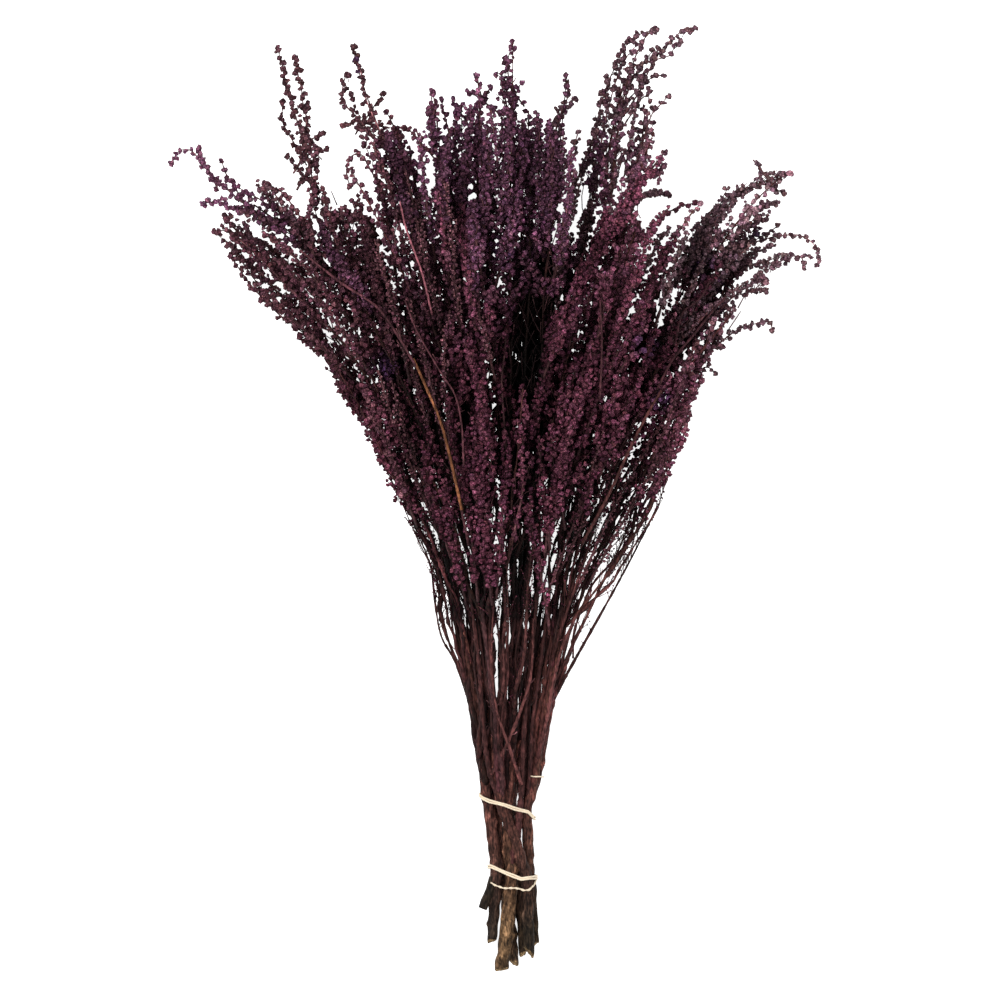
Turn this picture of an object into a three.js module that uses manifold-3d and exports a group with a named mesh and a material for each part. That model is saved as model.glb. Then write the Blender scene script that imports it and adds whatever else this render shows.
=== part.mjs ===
// A bunch of dried stoebe, lying on a surface. Millimetres, +Z up.
// X runs across the bunch, Y from the cut ends to the plume tips.
// Six woody stems are tied by rubber bands. Each grew as one piece with its branches, side twigs and tufts.
import * as THREE from 'three';
import { mergeVertices } from 'three/addons/utils/BufferGeometryUtils.js';
import Module from 'manifold-3d';

const wasm = await Module();
wasm.setup();

// Clearances
const BAND_GAP = 0.3;
const STEM_GAP = 0.5;
const SLIVER = 0.05;
const CUT_SLIVER = 0.05;
const PINCH_SHARE = 0.15;
const TUFT_SLIVER = 0.8;

// Rubber bands
const UPPER_BAND = { middle: [3.6, 99], slope: -0.43, strand: 1.4, strands: 2, steps: 22 };
const LOWER_BAND = { middle: [7.8, 59.5], slope: -0.2, strand: 1.4, strands: 2, steps: 22 };
const LOWER_LOOP = { middle: [7.8, 54.6], slope: 0.07, strand: 1.4, strands: 1, steps: 22 };
const SIDE_BAND = { middle: [23, 118], slope: -0.05, strand: 0.9, strands: 1, steps: 12 };

// Bark
const TRUNK_SIDES = 7;
const TRUNK_STEP = 17;
const BARK_ROUGHNESS = 0.06;
const BRANCH_ROOT_R = 1.5;
const BRANCH_TIP_R = 0.7;

// Branch curves
const SAMPLES = 28;
const FORK_SAMPLES = 5;
const SETTLE_ROUNDS = 70;
const ELBOW_SHARE = 0.36;
const SWAY = 2.2;
const LOWEST_AXIS = 1.8;
const TRUNK_TOP = 204;
const TRUNK_BALL_STEP = 5;
const PLUME_BALL_STEP = 3;
const BARE_RING_STEP = 26;
const BARE_MARGIN = 2.5;
const LEAFY_MARGIN = 7;

// How wide the lower fan is, plumes included: [y, left, right]
const FAN_EDGES = [
  [130, -17, 27], [169, -22, 35], [205, -37, 56], [241, -45, 73],
  [277, -62, 96], [331, -88, 112], [367, -110, 129], [403, -143, 160],
];

// Tufts: a tufted twig is a string of knobs, larger than life
const KNOB = 7;
const KNOB_WAIST = 0.36;
const KNOB_STEP = 12;
const KNOB_ROOM = 0.8;
const KNOB_TAPER = 0.62;
const FIRST_KNOB = 0.55;
const FIRST_KNOB_GROWTH = 2.2;
const TWIG_KNOB = 4.6;
const TWIG_STEP = 9;
const TWIG_PITCH = 46;
const TWIG_BARE = 4.5;
const TWIG_ROOT_R = 1;
const LONGEST_TWIG = 1.15;
const TWIG_TAPER = 0.62;
const TWIG_TILT = 0.72;
const TWIG_MIDDLE = 0.55;
const TWIG_OUT = 0.85;
const TWIG_AHEAD = 0.22;
const LAST_TWIG = 0.93;
const GOLDEN_ANGLE = 2.39996;
const BARE_SHARE = 0.33;
const BARE_SPREAD = 0.14;
const BARE_OVERLAP = 0.06;

// Each trunk is a list of [x, y, z, radius] from its cut end to where it is as thin as its branches.
// Each branch forks from the trunk at height fork and ends at tip. Its knee, where given, is where the
// last arch begins, and its elbow is where it leaves the bundle. spread is the length of its side twigs.
const STEMS = {
  left_stem: {
    trunk: [
      [-5.6, 18, 9.5, 3], [-4.6, 36, 11.3, 3.5], [-2.8, 58, 12.9, 3.7], [-5.2, 80, 12.9, 3.6],
      [-8.2, 103, 12.9, 3.5], [-12, 132, 16, 3], [-16, 166, 21, 2.3], [-22, 204, 28, 1.5],
    ],
    branches: [
      { tip: [-134, 555, 92], knee: [-116, 476, 84], fork: 202, spread: 14 },
      { tip: [-196, 487, 72], knee: [-76, 436, 108],
        elbow: [-12, 296, 66], fork: 150, spread: 20, bare: 0.62 },
      { tip: [-177, 461, 50], knee: [-132, 452, 66], fork: 165, spread: 17 },
      { tip: [-123, 547, 66], knee: [-108, 474, 58], fork: 140, spread: 13 },
      { tip: [-141, 472, 104], knee: [-98, 428, 100], fork: 185, spread: 22 },
      { tip: [-163, 436, 34], knee: [-112, 372, 38], elbow: [-34, 238, 26], fork: 130, spread: 16 },
      { tip: [-104, 374, 54], knee: [-76, 330, 50], elbow: [-32, 232, 34], fork: 155, spread: 18 },
      { tip: [-77, 322, 72], knee: [-58, 285, 64], fork: 192, spread: 17 },
      { tip: [-106, 490, 84], knee: [-80, 410, 88], fork: 120, spread: 24 },
    ],
  },
  front_stem: {
    trunk: [
      [16.5, 11.5, 15.5, 3.1], [16.4, 36, 18.6, 3.3], [14.4, 60, 20.7, 3.3], [7, 82, 20.8, 3.2],
      [0, 101, 20.5, 3.2], [-3.5, 130, 25, 2.8], [-5, 166, 33, 2.2], [-6, 206, 43, 1.5],
    ],
    branches: [
      { tip: [-89, 555, 100], knee: [-72, 486, 106], fork: 204, spread: 18 },
      { tip: [-93, 538, 80], knee: [-82, 484, 84], fork: 130, spread: 14 },
      { tip: [-93, 484, 120], knee: [-58, 440, 128], fork: 160, spread: 20 },
      { tip: [-36, 475, 134], knee: [-26, 385, 124], fork: 150, spread: 24 },
      { tip: [-56, 458, 124], knee: [-40, 370, 114], fork: 175, spread: 24 },
      { tip: [-18, 446, 142], knee: [-14, 360, 126], fork: 185, spread: 24 },
      { tip: [-9, 343, 116], knee: [-10, 275, 90], fork: 120, spread: 20 },
      { tip: [13, 350, 112], knee: [6, 280, 86], fork: 140, spread: 18 },
      { tip: [-33, 346, 110], knee: [-24, 280, 82], fork: 165, spread: 18 },
      { tip: [-47, 318, 90], knee: [-34, 262, 72], fork: 190, spread: 16 },
      { tip: [-41, 528, 98], knee: [-32, 440, 100], fork: 110, spread: 20 },
    ],
  },
  main_stem: {
    trunk: [
      [0.4, 0.6, 8.6, 4.3], [3.2, 24, 10.5, 4.4], [5, 43, 12.5, 4.2], [6.1, 58, 13.3, 4.1],
      [4.9, 82, 13.1, 4], [4.1, 103, 13.1, 3.9], [5.6, 132, 18, 3.2], [8, 166, 26, 2.4], [10, 206, 35, 1.5],
    ],
    branches: [
      { tip: [7, 558, 94], knee: [4, 450, 98], fork: 204, spread: 18 },
      { tip: [-14, 538, 108], knee: [-10, 440, 112], fork: 130, spread: 20 },
      { tip: [0, 516, 126], knee: [1, 420, 122], fork: 160, spread: 24 },
      { tip: [20, 511, 114], knee: [15, 420, 106], fork: 145, spread: 24 },
      { tip: [34, 498, 120], knee: [28, 410, 112], fork: 175, spread: 24 },
      { tip: [39, 538, 86], knee: [32, 450, 82], fork: 120, spread: 16 },
      { tip: [60, 421, 136], knee: [32, 350, 116], fork: 165, spread: 24 },
      { tip: [44, 366, 118], knee: [28, 300, 92], fork: 185, spread: 22 },
      { tip: [27, 288, 90], knee: [18, 245, 68], fork: 195, spread: 16 },
    ],
  },
  right_stem: {
    trunk: [
      [19.8, 15.5, 9.6, 2.9], [19, 36, 11.2, 3], [17, 58, 12.6, 3.2], [16, 79, 12.6, 3.4],
      [15.6, 97, 12.8, 3.1], [21.6, 118, 14, 3], [26, 140, 17, 2.7], [28, 170, 22, 2.1], [34, 206, 29, 1.5],
    ],
    branches: [
      { tip: [116, 566, 98], knee: [82, 556, 94], fork: 204, spread: 20 },
      { tip: [90, 565, 82], knee: [61, 542, 80], fork: 130, spread: 19 },
      { tip: [101, 524, 114], knee: [82, 496, 110], fork: 150, spread: 18 },
      { tip: [99, 492, 128], knee: [64, 420, 122], fork: 170, spread: 22 },
      { tip: [120, 461, 112], knee: [92, 446, 110], fork: 185, spread: 20 },
      { tip: [174, 480, 80], knee: [134, 464, 84], fork: 140, spread: 24 },
      { tip: [191, 426, 60], knee: [158, 456, 72], elbow: [44, 268, 42], fork: 160, spread: 18 },
      { tip: [183, 422, 42], knee: [150, 438, 50], elbow: [46, 262, 34], fork: 145, spread: 18 },
      { tip: [164, 385, 52], knee: [132, 398, 58], elbow: [50, 238, 40], fork: 165, spread: 16 },
      { tip: [126, 358, 76], knee: [94, 284, 58], elbow: [38, 190, 30], fork: 125, spread: 15 },
      { tip: [114, 325, 44], knee: [84, 278, 42], fork: 200, spread: 14 },
      { tip: [81, 436, 134], knee: [56, 352, 116], fork: 155, spread: 24 },
      { tip: [74, 380, 110], knee: [52, 310, 90], fork: 180, spread: 20 },
    ],
  },
  back_left_stem: {
    trunk: [
      [7.4, 4.6, 2.4, 3], [6.6, 18, 2.6, 3.2], [3.6, 38, 4.4, 3.4], [1.4, 58, 5.9, 3.5],
      [-1.4, 82, 5.9, 3.4], [-4, 103, 5.9, 3.3], [-7, 132, 6.6, 2.8], [-9.5, 166, 8.6, 2.2],
      [-12, 206, 13, 1.5],
    ],
    branches: [
      { tip: [-66, 520, 50], knee: [-48, 430, 46], fork: 204, spread: 22 },
      { tip: [-172, 444, 20], knee: [-104, 388, 18], fork: 130, spread: 20 },
      { tip: [-114, 462, 40], knee: [-80, 380, 34], fork: 150, spread: 24 },
      { tip: [-130, 424, 2.5], knee: [-84, 356, 0.5], fork: 165, spread: 20 },
      { tip: [-24, 525, 62], knee: [-20, 430, 54], fork: 140, spread: 22 },
      { tip: [-82, 420, 6], knee: [-56, 340, 4], fork: 185, spread: 22 },
      { tip: [-40, 470, 24], knee: [-30, 390, 20], fork: 175, spread: 24 },
      { tip: [-80, 336, 6], knee: [-52, 278, 8], fork: 195, spread: 17 },
    ],
  },
  back_right_stem: {
    trunk: [
      [12.8, 9.8, 3.6, 2.3], [11.8, 34, 4.8, 3], [9.2, 58, 5.9, 3.4], [7.4, 82, 5.9, 3.3],
      [6.2, 103, 5.9, 3.3], [10, 132, 6.6, 2.8], [14, 166, 8.8, 2.2], [18, 206, 13, 1.5],
    ],
    branches: [
      { tip: [62, 528, 52], knee: [44, 430, 46], fork: 204, spread: 22 },
      { tip: [160, 463, 32], knee: [106, 396, 28], fork: 130, spread: 20 },
      { tip: [158, 409, 5], knee: [108, 352, 1], fork: 150, spread: 20 },
      { tip: [17, 532, 68], knee: [14, 440, 58], fork: 140, spread: 22 },
      { tip: [90, 470, 22], knee: [60, 380, 18], fork: 165, spread: 24 },
      { tip: [106, 398, 2.5], knee: [72, 322, 1], fork: 180, spread: 22 },
      { tip: [28, 470, 26], knee: [20, 390, 22], fork: 175, spread: 24 },
      { tip: [90, 330, 6], knee: [64, 270, 8], fork: 195, spread: 18 },
      { tip: [124, 440, 58], knee: [88, 365, 50], fork: 145, spread: 24 },
    ],
  },
};

// The left stem has a short cut side stub below the lower band: [x, y, z] from root to end, and its radius
const SIDE_STUB = { path: [[-4, 48, 12], [-8, 41, 12.4], [-11.2, 36.4, 12.6]], radius: 2 };

// Colours: lit tufts on bark, and rubber
const BARK = { color: 0x4a2f33, roughness: 0.85, metalness: 0 };
const RUBBER = { color: 0xe9dcc3, roughness: 0.6, metalness: 0 };

// A repeatable random number from 0 to 1
function randomFrom(seed) {
  let state = seed >>> 0;
  return () => {
    state = (Math.imul(state, 1664525) + 1013904223) >>> 0;
    return state / 4294967296;
  };
}

const vec = (p) => new THREE.Vector3(p[0], p[1], p[2]);
const smoothCurve = (points) => new THREE.CatmullRomCurve3(points, false, 'catmullrom', 0.5);

// The trunk's point at height y, with the radius there
function trunkAt(trunk, y) {
  let k = 0;
  while (k < trunk.length - 2 && trunk[k + 1][1] < y) k += 1;
  const share = (y - trunk[k][1]) / (trunk[k + 1][1] - trunk[k][1]);
  const [x, , z, radius] = trunk[k].map((value, i) => value + share * (trunk[k + 1][i] - value));
  return { point: new THREE.Vector3(x, y, z), radius };
}

// A branch's first curve, from its fork to its tip
function drawBranch(stem, plan, random) {
  const root = trunkAt(stem.trunk, plan.fork);
  const ahead = trunkAt(stem.trunk, plan.fork + 8).point.sub(root.point).normalize();
  const tip = vec(plan.tip);
  const straight = root.point.clone().addScaledVector(ahead, ELBOW_SHARE * tip.distanceTo(root.point));
  const elbow = plan.elbow ? vec(plan.elbow) : straight;
  const curve = new THREE.CubicBezierCurve3(root.point, elbow, vec(plan.knee), tip);
  const points = curve.getPoints(SAMPLES - 1);
  const phases = [random() * 2 * Math.PI, random() * 2 * Math.PI];
  points.forEach((p, k) => {
    const t = k / (SAMPLES - 1);
    const swing = SWAY * 4 * t * (1 - t);
    p.x += swing * Math.sin(phases[0] + 9 * t);
    p.z += swing * Math.sin(phases[1] + 7 * t);
  });
  const bare = (plan.bare ?? BARE_SHARE) + BARE_SPREAD * (random() - 0.5);
  const leafyFrom = (bare - BARE_OVERLAP) * (SAMPLES - 1);
  const reach = points.map((p, k) => (k < leafyFrom ? BRANCH_ROOT_R : KNOB * KNOB_ROOM));
  return { points, reach, bare, spread: plan.spread };
}

// Pushes branches of different stems apart, where they would cross
function settle(stems) {
  const balls = [];
  stems.forEach((stem, s) => {
    for (let y = stem.trunk[0][1]; y <= TRUNK_TOP; y += TRUNK_BALL_STEP) {
      const { point, radius } = trunkAt(stem.trunk, y);
      balls.push({ stem: s, point, reach: radius, fixed: true });
    }
    stem.branches.forEach((branch) => {
      branch.points.forEach((point, k) => {
        balls.push({ stem: s, point, reach: branch.reach[k], ease: Math.min(1, k / 3), branch, k });
      });
    });
  });
  for (let round = 0; round < SETTLE_ROUNDS; round += 1) {
    stems.flatMap((stem) => stem.branches).forEach((branch) => {
      branch.push = branch.points.map(() => new THREE.Vector3());
    });
    balls.forEach((a, i) => {
      for (let j = i + 1; j < balls.length; j += 1) {
        const b = balls[j];
        const room = a.reach + b.reach + STEM_GAP;
        if (Math.abs(a.point.y - b.point.y) > room || sameGrowth(a, b)) continue;
        const apart = a.point.clone().sub(b.point);
        const distance = apart.length();
        if (distance >= room) continue;
        apart.multiplyScalar((0.5 * (room - distance)) / Math.max(distance, 0.1));
        if (!a.fixed) a.branch.push[a.k].addScaledVector(apart, a.ease);
        if (!b.fixed) b.branch.push[b.k].addScaledVector(apart, -b.ease);
      }
    });
    stems.flatMap((stem) => stem.branches).forEach(movePoints);
  }
}

// Says whether two balls belong to one branch, or to one stem close to a fork
function sameGrowth(a, b) {
  if (a.stem !== b.stem) return false;
  return a.branch === b.branch || !a.branch || !b.branch || Math.min(a.k, b.k) < FORK_SAMPLES;
}

// Moves a branch's points by their pushes, evened out along it, above the surface and within the fan
function movePoints(branch) {
  const last = branch.points.length - 1;
  branch.points.forEach((p, k) => {
    if (k === 0) return;
    const before = branch.push[k - 1];
    const after = branch.push[Math.min(last, k + 1)];
    p.addScaledVector(branch.push[k], 0.5).addScaledVector(before, 0.25).addScaledVector(after, 0.25);
    p.z = Math.max(p.z, LOWEST_AXIS);
    keepInFan(p, branch.reach[k] > BRANCH_ROOT_R ? LEAFY_MARGIN : BARE_MARGIN);
  });
}

// Draws a point of the lower fan in, where it would stand out past its edge
function keepInFan(p, margin) {
  const k = FAN_EDGES.findIndex((row) => row[0] > p.y);
  if (k < 1) return;
  const [low, high] = [FAN_EDGES[k - 1], FAN_EDGES[k]];
  const share = (p.y - low[0]) / (high[0] - low[0]);
  const [, left, right] = low.map((value, i) => value + share * (high[i] - value));
  p.x = Math.min(Math.max(p.x, left + margin), right - margin);
}

// A closed tube: rings of points about a curve, each with a radius for every corner, and a pointed end
function tube(curve, rings, sides, pointed) {
  const corners = [];
  const first = curve.getTangentAt(rings[0].at);
  const reference = Math.abs(first.z) > 0.8 ? new THREE.Vector3(1, 0, 0) : new THREE.Vector3(0, 0, 1);
  rings.forEach((ring) => {
    const centre = curve.getPointAt(ring.at);
    const tangent = curve.getTangentAt(ring.at);
    const side = new THREE.Vector3().crossVectors(tangent, reference).normalize();
    const up = new THREE.Vector3().crossVectors(side, tangent);
    ring.radii.forEach((radius, k) => {
      const angle = ring.turn + (k * 2 * Math.PI) / sides;
      const corner = centre.clone().addScaledVector(side, radius * Math.cos(angle));
      corners.push(corner.addScaledVector(up, radius * Math.sin(angle)));
    });
  });
  const faces = [];
  const at = (ring, k) => ring * sides + (k % sides);
  for (let ring = 0; ring + 1 < rings.length; ring += 1) {
    for (let k = 0; k < sides; k += 1) {
      faces.push([at(ring, k), at(ring, k + 1), at(ring + 1, k)]);
      faces.push([at(ring, k + 1), at(ring + 1, k + 1), at(ring + 1, k)]);
    }
  }
  for (let k = 1; k + 1 < sides; k += 1) faces.push([at(0, 0), at(0, k + 1), at(0, k)]);
  const end = rings.length - 1;
  if (pointed) {
    corners.push(curve.getPointAt(pointed));
    for (let k = 0; k < sides; k += 1) faces.push([at(end, k), at(end, k + 1), corners.length - 1]);
  } else {
    for (let k = 1; k + 1 < sides; k += 1) faces.push([at(end, 0), at(end, k), at(end, k + 1)]);
  }
  return closedGeometry(corners, faces);
}

// A geometry of the given corners and faces, turned the right way out
function closedGeometry(corners, faces) {
  let volume = 0;
  faces.forEach(([a, b, c]) => {
    volume += corners[a].dot(new THREE.Vector3().crossVectors(corners[b], corners[c]));
  });
  const index = faces.flatMap(([a, b, c]) => (volume > 0 ? [a, b, c] : [a, c, b]));
  const geometry = new THREE.BufferGeometry().setFromPoints(corners);
  geometry.setIndex(index);
  return geometry;
}

// The trunk: a knotty tapered rod with a flat cut end
function trunkGeometry(trunk, random) {
  const curve = smoothCurve(trunk.map(vec));
  const length = curve.getLength();
  const count = Math.round(length / TRUNK_STEP);
  const rings = [];
  for (let k = 0; k <= count; k += 1) {
    const at = k / count;
    const { radius } = trunkAt(trunk, curve.getPointAt(at).y);
    const radii = Array.from({ length: TRUNK_SIDES }, () => radius * (1 - BARK_ROUGHNESS * random()));
    rings.push({ at, radii, turn: 0.2 });
  }
  return tube(curve, rings, TRUNK_SIDES, 0);
}

// The rings of a tufted length of twig, a knob at every other ring
function knobRings(from, to, step, knob, random) {
  const rings = [];
  const count = Math.max(2, Math.round((to - from) / step));
  for (let k = 0; k <= count; k += 1) {
    const share = k / count;
    const taper = (1 - KNOB_TAPER * share ** 2) * Math.min(1, FIRST_KNOB + FIRST_KNOB_GROWTH * share);
    const size = knob * taper;
    const radii = [0, 1, 2].map(() => size * (KNOB_WAIST + (1 - KNOB_WAIST) * random()));
    radii[k % 3] = size;
    rings.push({ along: from + (to - from - step * 0.6) * share, radii, turn: (k * Math.PI) / 3 });
  }
  return rings;
}

// A plume's axis: bare wood, then knobs of tufts to the tip
function plumeAxis(branch, random) {
  const curve = smoothCurve(branch.points);
  const length = curve.getLength();
  const leafyFrom = branch.bare * length;
  const rings = [];
  const bareCount = Math.max(3, Math.round(leafyFrom / BARE_RING_STEP));
  for (let k = 0; k < bareCount; k += 1) {
    const share = k / bareCount;
    const radius = BRANCH_ROOT_R + (BRANCH_TIP_R - BRANCH_ROOT_R) * share;
    rings.push({ along: share * leafyFrom, radii: [radius, radius, radius], turn: (k * Math.PI) / 3 });
  }
  rings.push(...knobRings(leafyFrom, length, KNOB_STEP, KNOB, random));
  rings.forEach((ring, k) => {
    ring.at = ring.along / length;
    ring.turn = (k * Math.PI) / 3;
  });
  return { curve, length, leafyFrom, geometry: tube(curve, rings, 3, 1) };
}

// The direction of a side twig: forward along the branch and outward round it
function twigDirection(tangent, turn) {
  const side = new THREE.Vector3().crossVectors(tangent, new THREE.Vector3(0, 0, 1)).normalize();
  const up = new THREE.Vector3().crossVectors(side, tangent);
  const outward = side.multiplyScalar(Math.cos(turn)).addScaledVector(up, Math.sin(turn));
  return tangent.clone().multiplyScalar(Math.cos(TWIG_TILT)).addScaledVector(outward, Math.sin(TWIG_TILT));
}

// The side twigs of a plume, each left out where it finds no room among the other stems
function sideTwigs(axis, branch, room, random) {
  const twigs = [];
  const leafy = axis.length - axis.leafyFrom;
  const count = Math.max(2, Math.round(leafy / TWIG_PITCH));
  let turn = random() * 2 * Math.PI;
  for (let k = 0; k < count; k += 1) {
    turn += GOLDEN_ANGLE;
    const share = (k + 0.3) / count;
    const at = (axis.leafyFrom + share * leafy * LAST_TWIG) / axis.length;
    const root = axis.curve.getPointAt(at);
    const tangent = axis.curve.getTangentAt(at);
    const length = branch.spread * (LONGEST_TWIG - TWIG_TAPER * share) * (0.85 + 0.3 * random());
    const fit = placeTwig(root, tangent, turn, length, room);
    if (fit) twigs.push(fit);
  }
  return twigs;
}

// A side twig's curve, turned or shortened until it clears the other stems
function placeTwig(root, tangent, turn, length, room) {
  for (const reach of [length, length * 0.75]) {
    for (const aside of [0, 0.6, -0.6, 1.3, -1.3, 2.2]) {
      const direction = twigDirection(tangent, turn + aside);
      const middle = root.clone().addScaledVector(direction, reach * TWIG_MIDDLE);
      const ahead = tangent.clone().multiplyScalar(reach * TWIG_AHEAD);
      const end = root.clone().addScaledVector(direction, reach * TWIG_OUT).add(ahead);
      if (Math.min(middle.z, end.z) < LOWEST_AXIS) continue;
      if (room(middle, TWIG_KNOB) && room(end, TWIG_KNOB)) return smoothCurve([root, middle, end]);
    }
  }
  return null;
}

// A side twig as a closed tufted tube, with its root inside the branch
function twigGeometry(curve, random) {
  const length = curve.getLength();
  const rings = [{ along: 0, radii: [TWIG_ROOT_R, TWIG_ROOT_R, TWIG_ROOT_R], turn: 0 }];
  rings.push(...knobRings(Math.min(TWIG_BARE, length * 0.3), length, TWIG_STEP, TWIG_KNOB, random));
  rings.forEach((ring, k) => {
    ring.at = ring.along / length;
    ring.turn = (k * Math.PI) / 3;
  });
  return tube(curve, rings, 3, 1);
}

// A solid from a closed geometry, with its shared corners merged
function toSolid(geometry) {
  const merged = mergeVertices(geometry, 1e-5);
  const mesh = new wasm.Mesh({
    numProp: 3,
    vertProperties: new Float32Array(merged.attributes.position.array),
    triVerts: new Uint32Array(merged.index.array),
  });
  return new wasm.Manifold(mesh);
}

// Where a join leaves two corners at one point, draws each a little towards its own neighbours
function drawApart(position, triangles) {
  const places = new Map();
  const point = (k) => new THREE.Vector3().fromBufferAttribute(position, k);
  for (let k = 0; k < position.count; k += 1) {
    const key = point(k).toArray().map((value) => value.toFixed(3)).join();
    places.set(key, [...(places.get(key) ?? []), k]);
  }
  const shared = new Set([...places.values()].filter((group) => group.length > 1).flat());
  const sums = new Map([...shared].map((k) => [k, { sum: new THREE.Vector3(), count: 0 }]));
  triangles.forEach((corner, i) => {
    if (!shared.has(corner)) return;
    const first = i - (i % 3);
    [0, 1, 2].forEach((step) => sums.get(corner).sum.add(point(triangles[first + step])));
    sums.get(corner).count += 3;
  });
  sums.forEach(({ sum, count }, k) => {
    const moved = point(k).lerp(sum.divideScalar(count), PINCH_SHARE);
    position.setXYZ(k, moved.x, moved.y, moved.z);
  });
}

// A named mesh from a solid
function toMesh(name, solid, look) {
  const { numProp, vertProperties, triVerts } = solid.getMesh();
  const geometry = new THREE.BufferGeometry();
  const position = new THREE.BufferAttribute(new Float32Array(vertProperties), numProp);
  drawApart(position, triVerts);
  geometry.setAttribute('position', position);
  geometry.setIndex(new THREE.BufferAttribute(new Uint32Array(triVerts), 1));
  geometry.computeVertexNormals();
  const mesh = new THREE.Mesh(geometry, new THREE.MeshStandardMaterial(look));
  mesh.name = name;
  return mesh;
}

// Says whether a ball fits at a point without coming near another branch
function roomAround(owner, balls) {
  return (point, reach) => balls.every((ball) => (
    ball.owner === owner || ball.point.distanceTo(point) > ball.reach + reach + STEM_GAP
  ));
}

// All plumes' axes and twigs as balls, for the room test
function axisBalls(stems) {
  const balls = [];
  stems.forEach((stem) => {
    for (let y = stem.trunk[0][1]; y <= TRUNK_TOP; y += PLUME_BALL_STEP) {
      const { point, radius } = trunkAt(stem.trunk, y);
      balls.push({ owner: stem, point, reach: radius });
    }
    stem.axes.forEach((axis) => {
      const count = Math.ceil(axis.length / PLUME_BALL_STEP);
      for (let k = 0; k <= count; k += 1) {
        const at = k / count;
        const reach = at * axis.length < axis.leafyFrom - 4 ? BRANCH_ROOT_R : KNOB;
        balls.push({ owner: axis, point: axis.curve.getPointAt(at), reach });
      }
    });
  });
  return balls;
}

// One woody stem as a single solid
function stemSolid(stem, balls, random) {
  const solids = [];
  stem.axes.forEach((axis, k) => {
    solids.push(toSolid(axis.geometry));
    sideTwigs(axis, stem.branches[k], roomAround(axis, balls), random).forEach((curve) => {
      solids.push(toSolid(twigGeometry(curve, random)));
      [0.35, 0.6, 0.8, 1].forEach((at) => {
        balls.push({ owner: axis, point: curve.getPointAt(at), reach: TWIG_KNOB });
      });
    });
  });
  const wood = [toSolid(stem.bark)];
  if (stem.stub) wood.push(toSolid(stubGeometry(stem.stub)));
  const growth = wasm.Manifold.union(solids).asOriginal().simplify(TUFT_SLIVER);
  const whole = wasm.Manifold.union([growth, ...wood]).asOriginal().simplify(SLIVER);
  return wholeBody(whole.trimByPlane([0, 0, 1], 0).asOriginal().simplify(CUT_SLIVER));
}

// A short cut side stub on a trunk
function stubGeometry({ path, radius }) {
  const radii = [1, 0.9, 1, 0.95, 1].map((share) => share * radius);
  const rings = [0, 0.5, 1].map((at) => ({ at, radii, turn: 0 }));
  return tube(smoothCurve(path.map(vec)), rings, 5, 0);
}

// The largest body of a solid, which leaves out loose scraps and fills sealed hollows
function wholeBody(solid) {
  return solid.decompose().reduce((best, body) => (body.volume() > best.volume() ? body : best));
}

// The points where the edges of the trunks cross a band's slanted plane, at its middle and both its edges
function crossings(trunks, plan, halfWidth) {
  const points = [];
  const height = (p) => p.y - plan.middle[1] - plan.slope * (p.x - plan.middle[0]);
  trunks.forEach((geometry) => {
    const { position } = geometry.attributes;
    const corner = (k) => new THREE.Vector3().fromBufferAttribute(position, geometry.index.getX(k));
    for (let k = 0; k < geometry.index.count; k += 1) {
      const a = corner(k);
      const b = corner(k % 3 === 2 ? k - 2 : k + 1);
      if (Math.abs(height(a)) < halfWidth) points.push(a);
      [-halfWidth, 0, halfWidth].forEach((level) => {
        const share = (level - height(a)) / (height(b) - height(a));
        if (share >= 0 && share <= 1) points.push(a.clone().lerp(b, share));
      });
    }
  });
  return points;
}

// The closed line that a band follows round its trunks: tangents to them meet at its corners
function bandLine(points, plan, off) {
  const step = (2 * Math.PI) / plan.steps;
  const out = (k) => new THREE.Vector3(Math.cos(k * step), 0, Math.sin(k * step));
  const reach = (k) => off + Math.max(...points.map((p) => p.dot(out(k))));
  return Array.from({ length: plan.steps }, (_, k) => {
    const aside = (reach(k + 1) - reach(k) * Math.cos(step)) / Math.sin(step);
    const p = out(k).multiplyScalar(reach(k)).addScaledVector(out(k + plan.steps / 4), aside);
    p.y = plan.middle[1] + plan.slope * (p.x - plan.middle[0]);
    return p;
  });
}

// A band: round strands side by side, swept round the closed line
function bandGeometry(line, strand, strands) {
  const section = strandSection(strand, strands);
  const corners = [];
  const faces = [];
  const middle = line.reduce((sum, p) => sum.add(p), new THREE.Vector3()).divideScalar(line.length);
  const along = new THREE.Vector3(0, 1, 0);
  line.forEach((p, k) => {
    const next = line[(k + 1) % line.length];
    const before = line[(k + line.length - 1) % line.length];
    const tangent = next.clone().sub(before).normalize();
    const out = new THREE.Vector3().crossVectors(tangent, along).normalize();
    if (out.dot(p.clone().sub(middle)) < 0) out.negate();
    section.forEach(([across, outward]) => {
      corners.push(p.clone().addScaledVector(along, across).addScaledVector(out, outward));
    });
  });
  const n = section.length;
  for (let k = 0; k < line.length; k += 1) {
    const after = (k + 1) % line.length;
    for (let i = 0; i < n; i += 1) {
      const j = (i + 1) % n;
      faces.push([k * n + i, k * n + j, after * n + i], [k * n + j, after * n + j, after * n + i]);
    }
  }
  return closedGeometry(corners, faces);
}

// The section across one or two touching strands, as [across, outward] corners
function strandSection(strand, strands) {
  const r = strand / 2;
  if (strands === 1) {
    const angles = [0, 1, 2, 3, 4, 5].map((k) => (k * Math.PI) / 3);
    return angles.map((angle) => [r * Math.cos(angle), r * Math.sin(angle)]);
  }
  const waist = r * 0.45;
  return [
    [0, -waist], [r, -r], [2 * r, 0], [r, r], [0, waist], [-r, r], [-2 * r, 0], [-r, -r],
  ];
}

function band(trunks, plan) {
  const points = crossings(trunks, plan, (plan.strand * plan.strands) / 2);
  const line = bandLine(points, plan, BAND_GAP + plan.strand / 2);
  return toSolid(bandGeometry(line, plan.strand, plan.strands));
}

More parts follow.
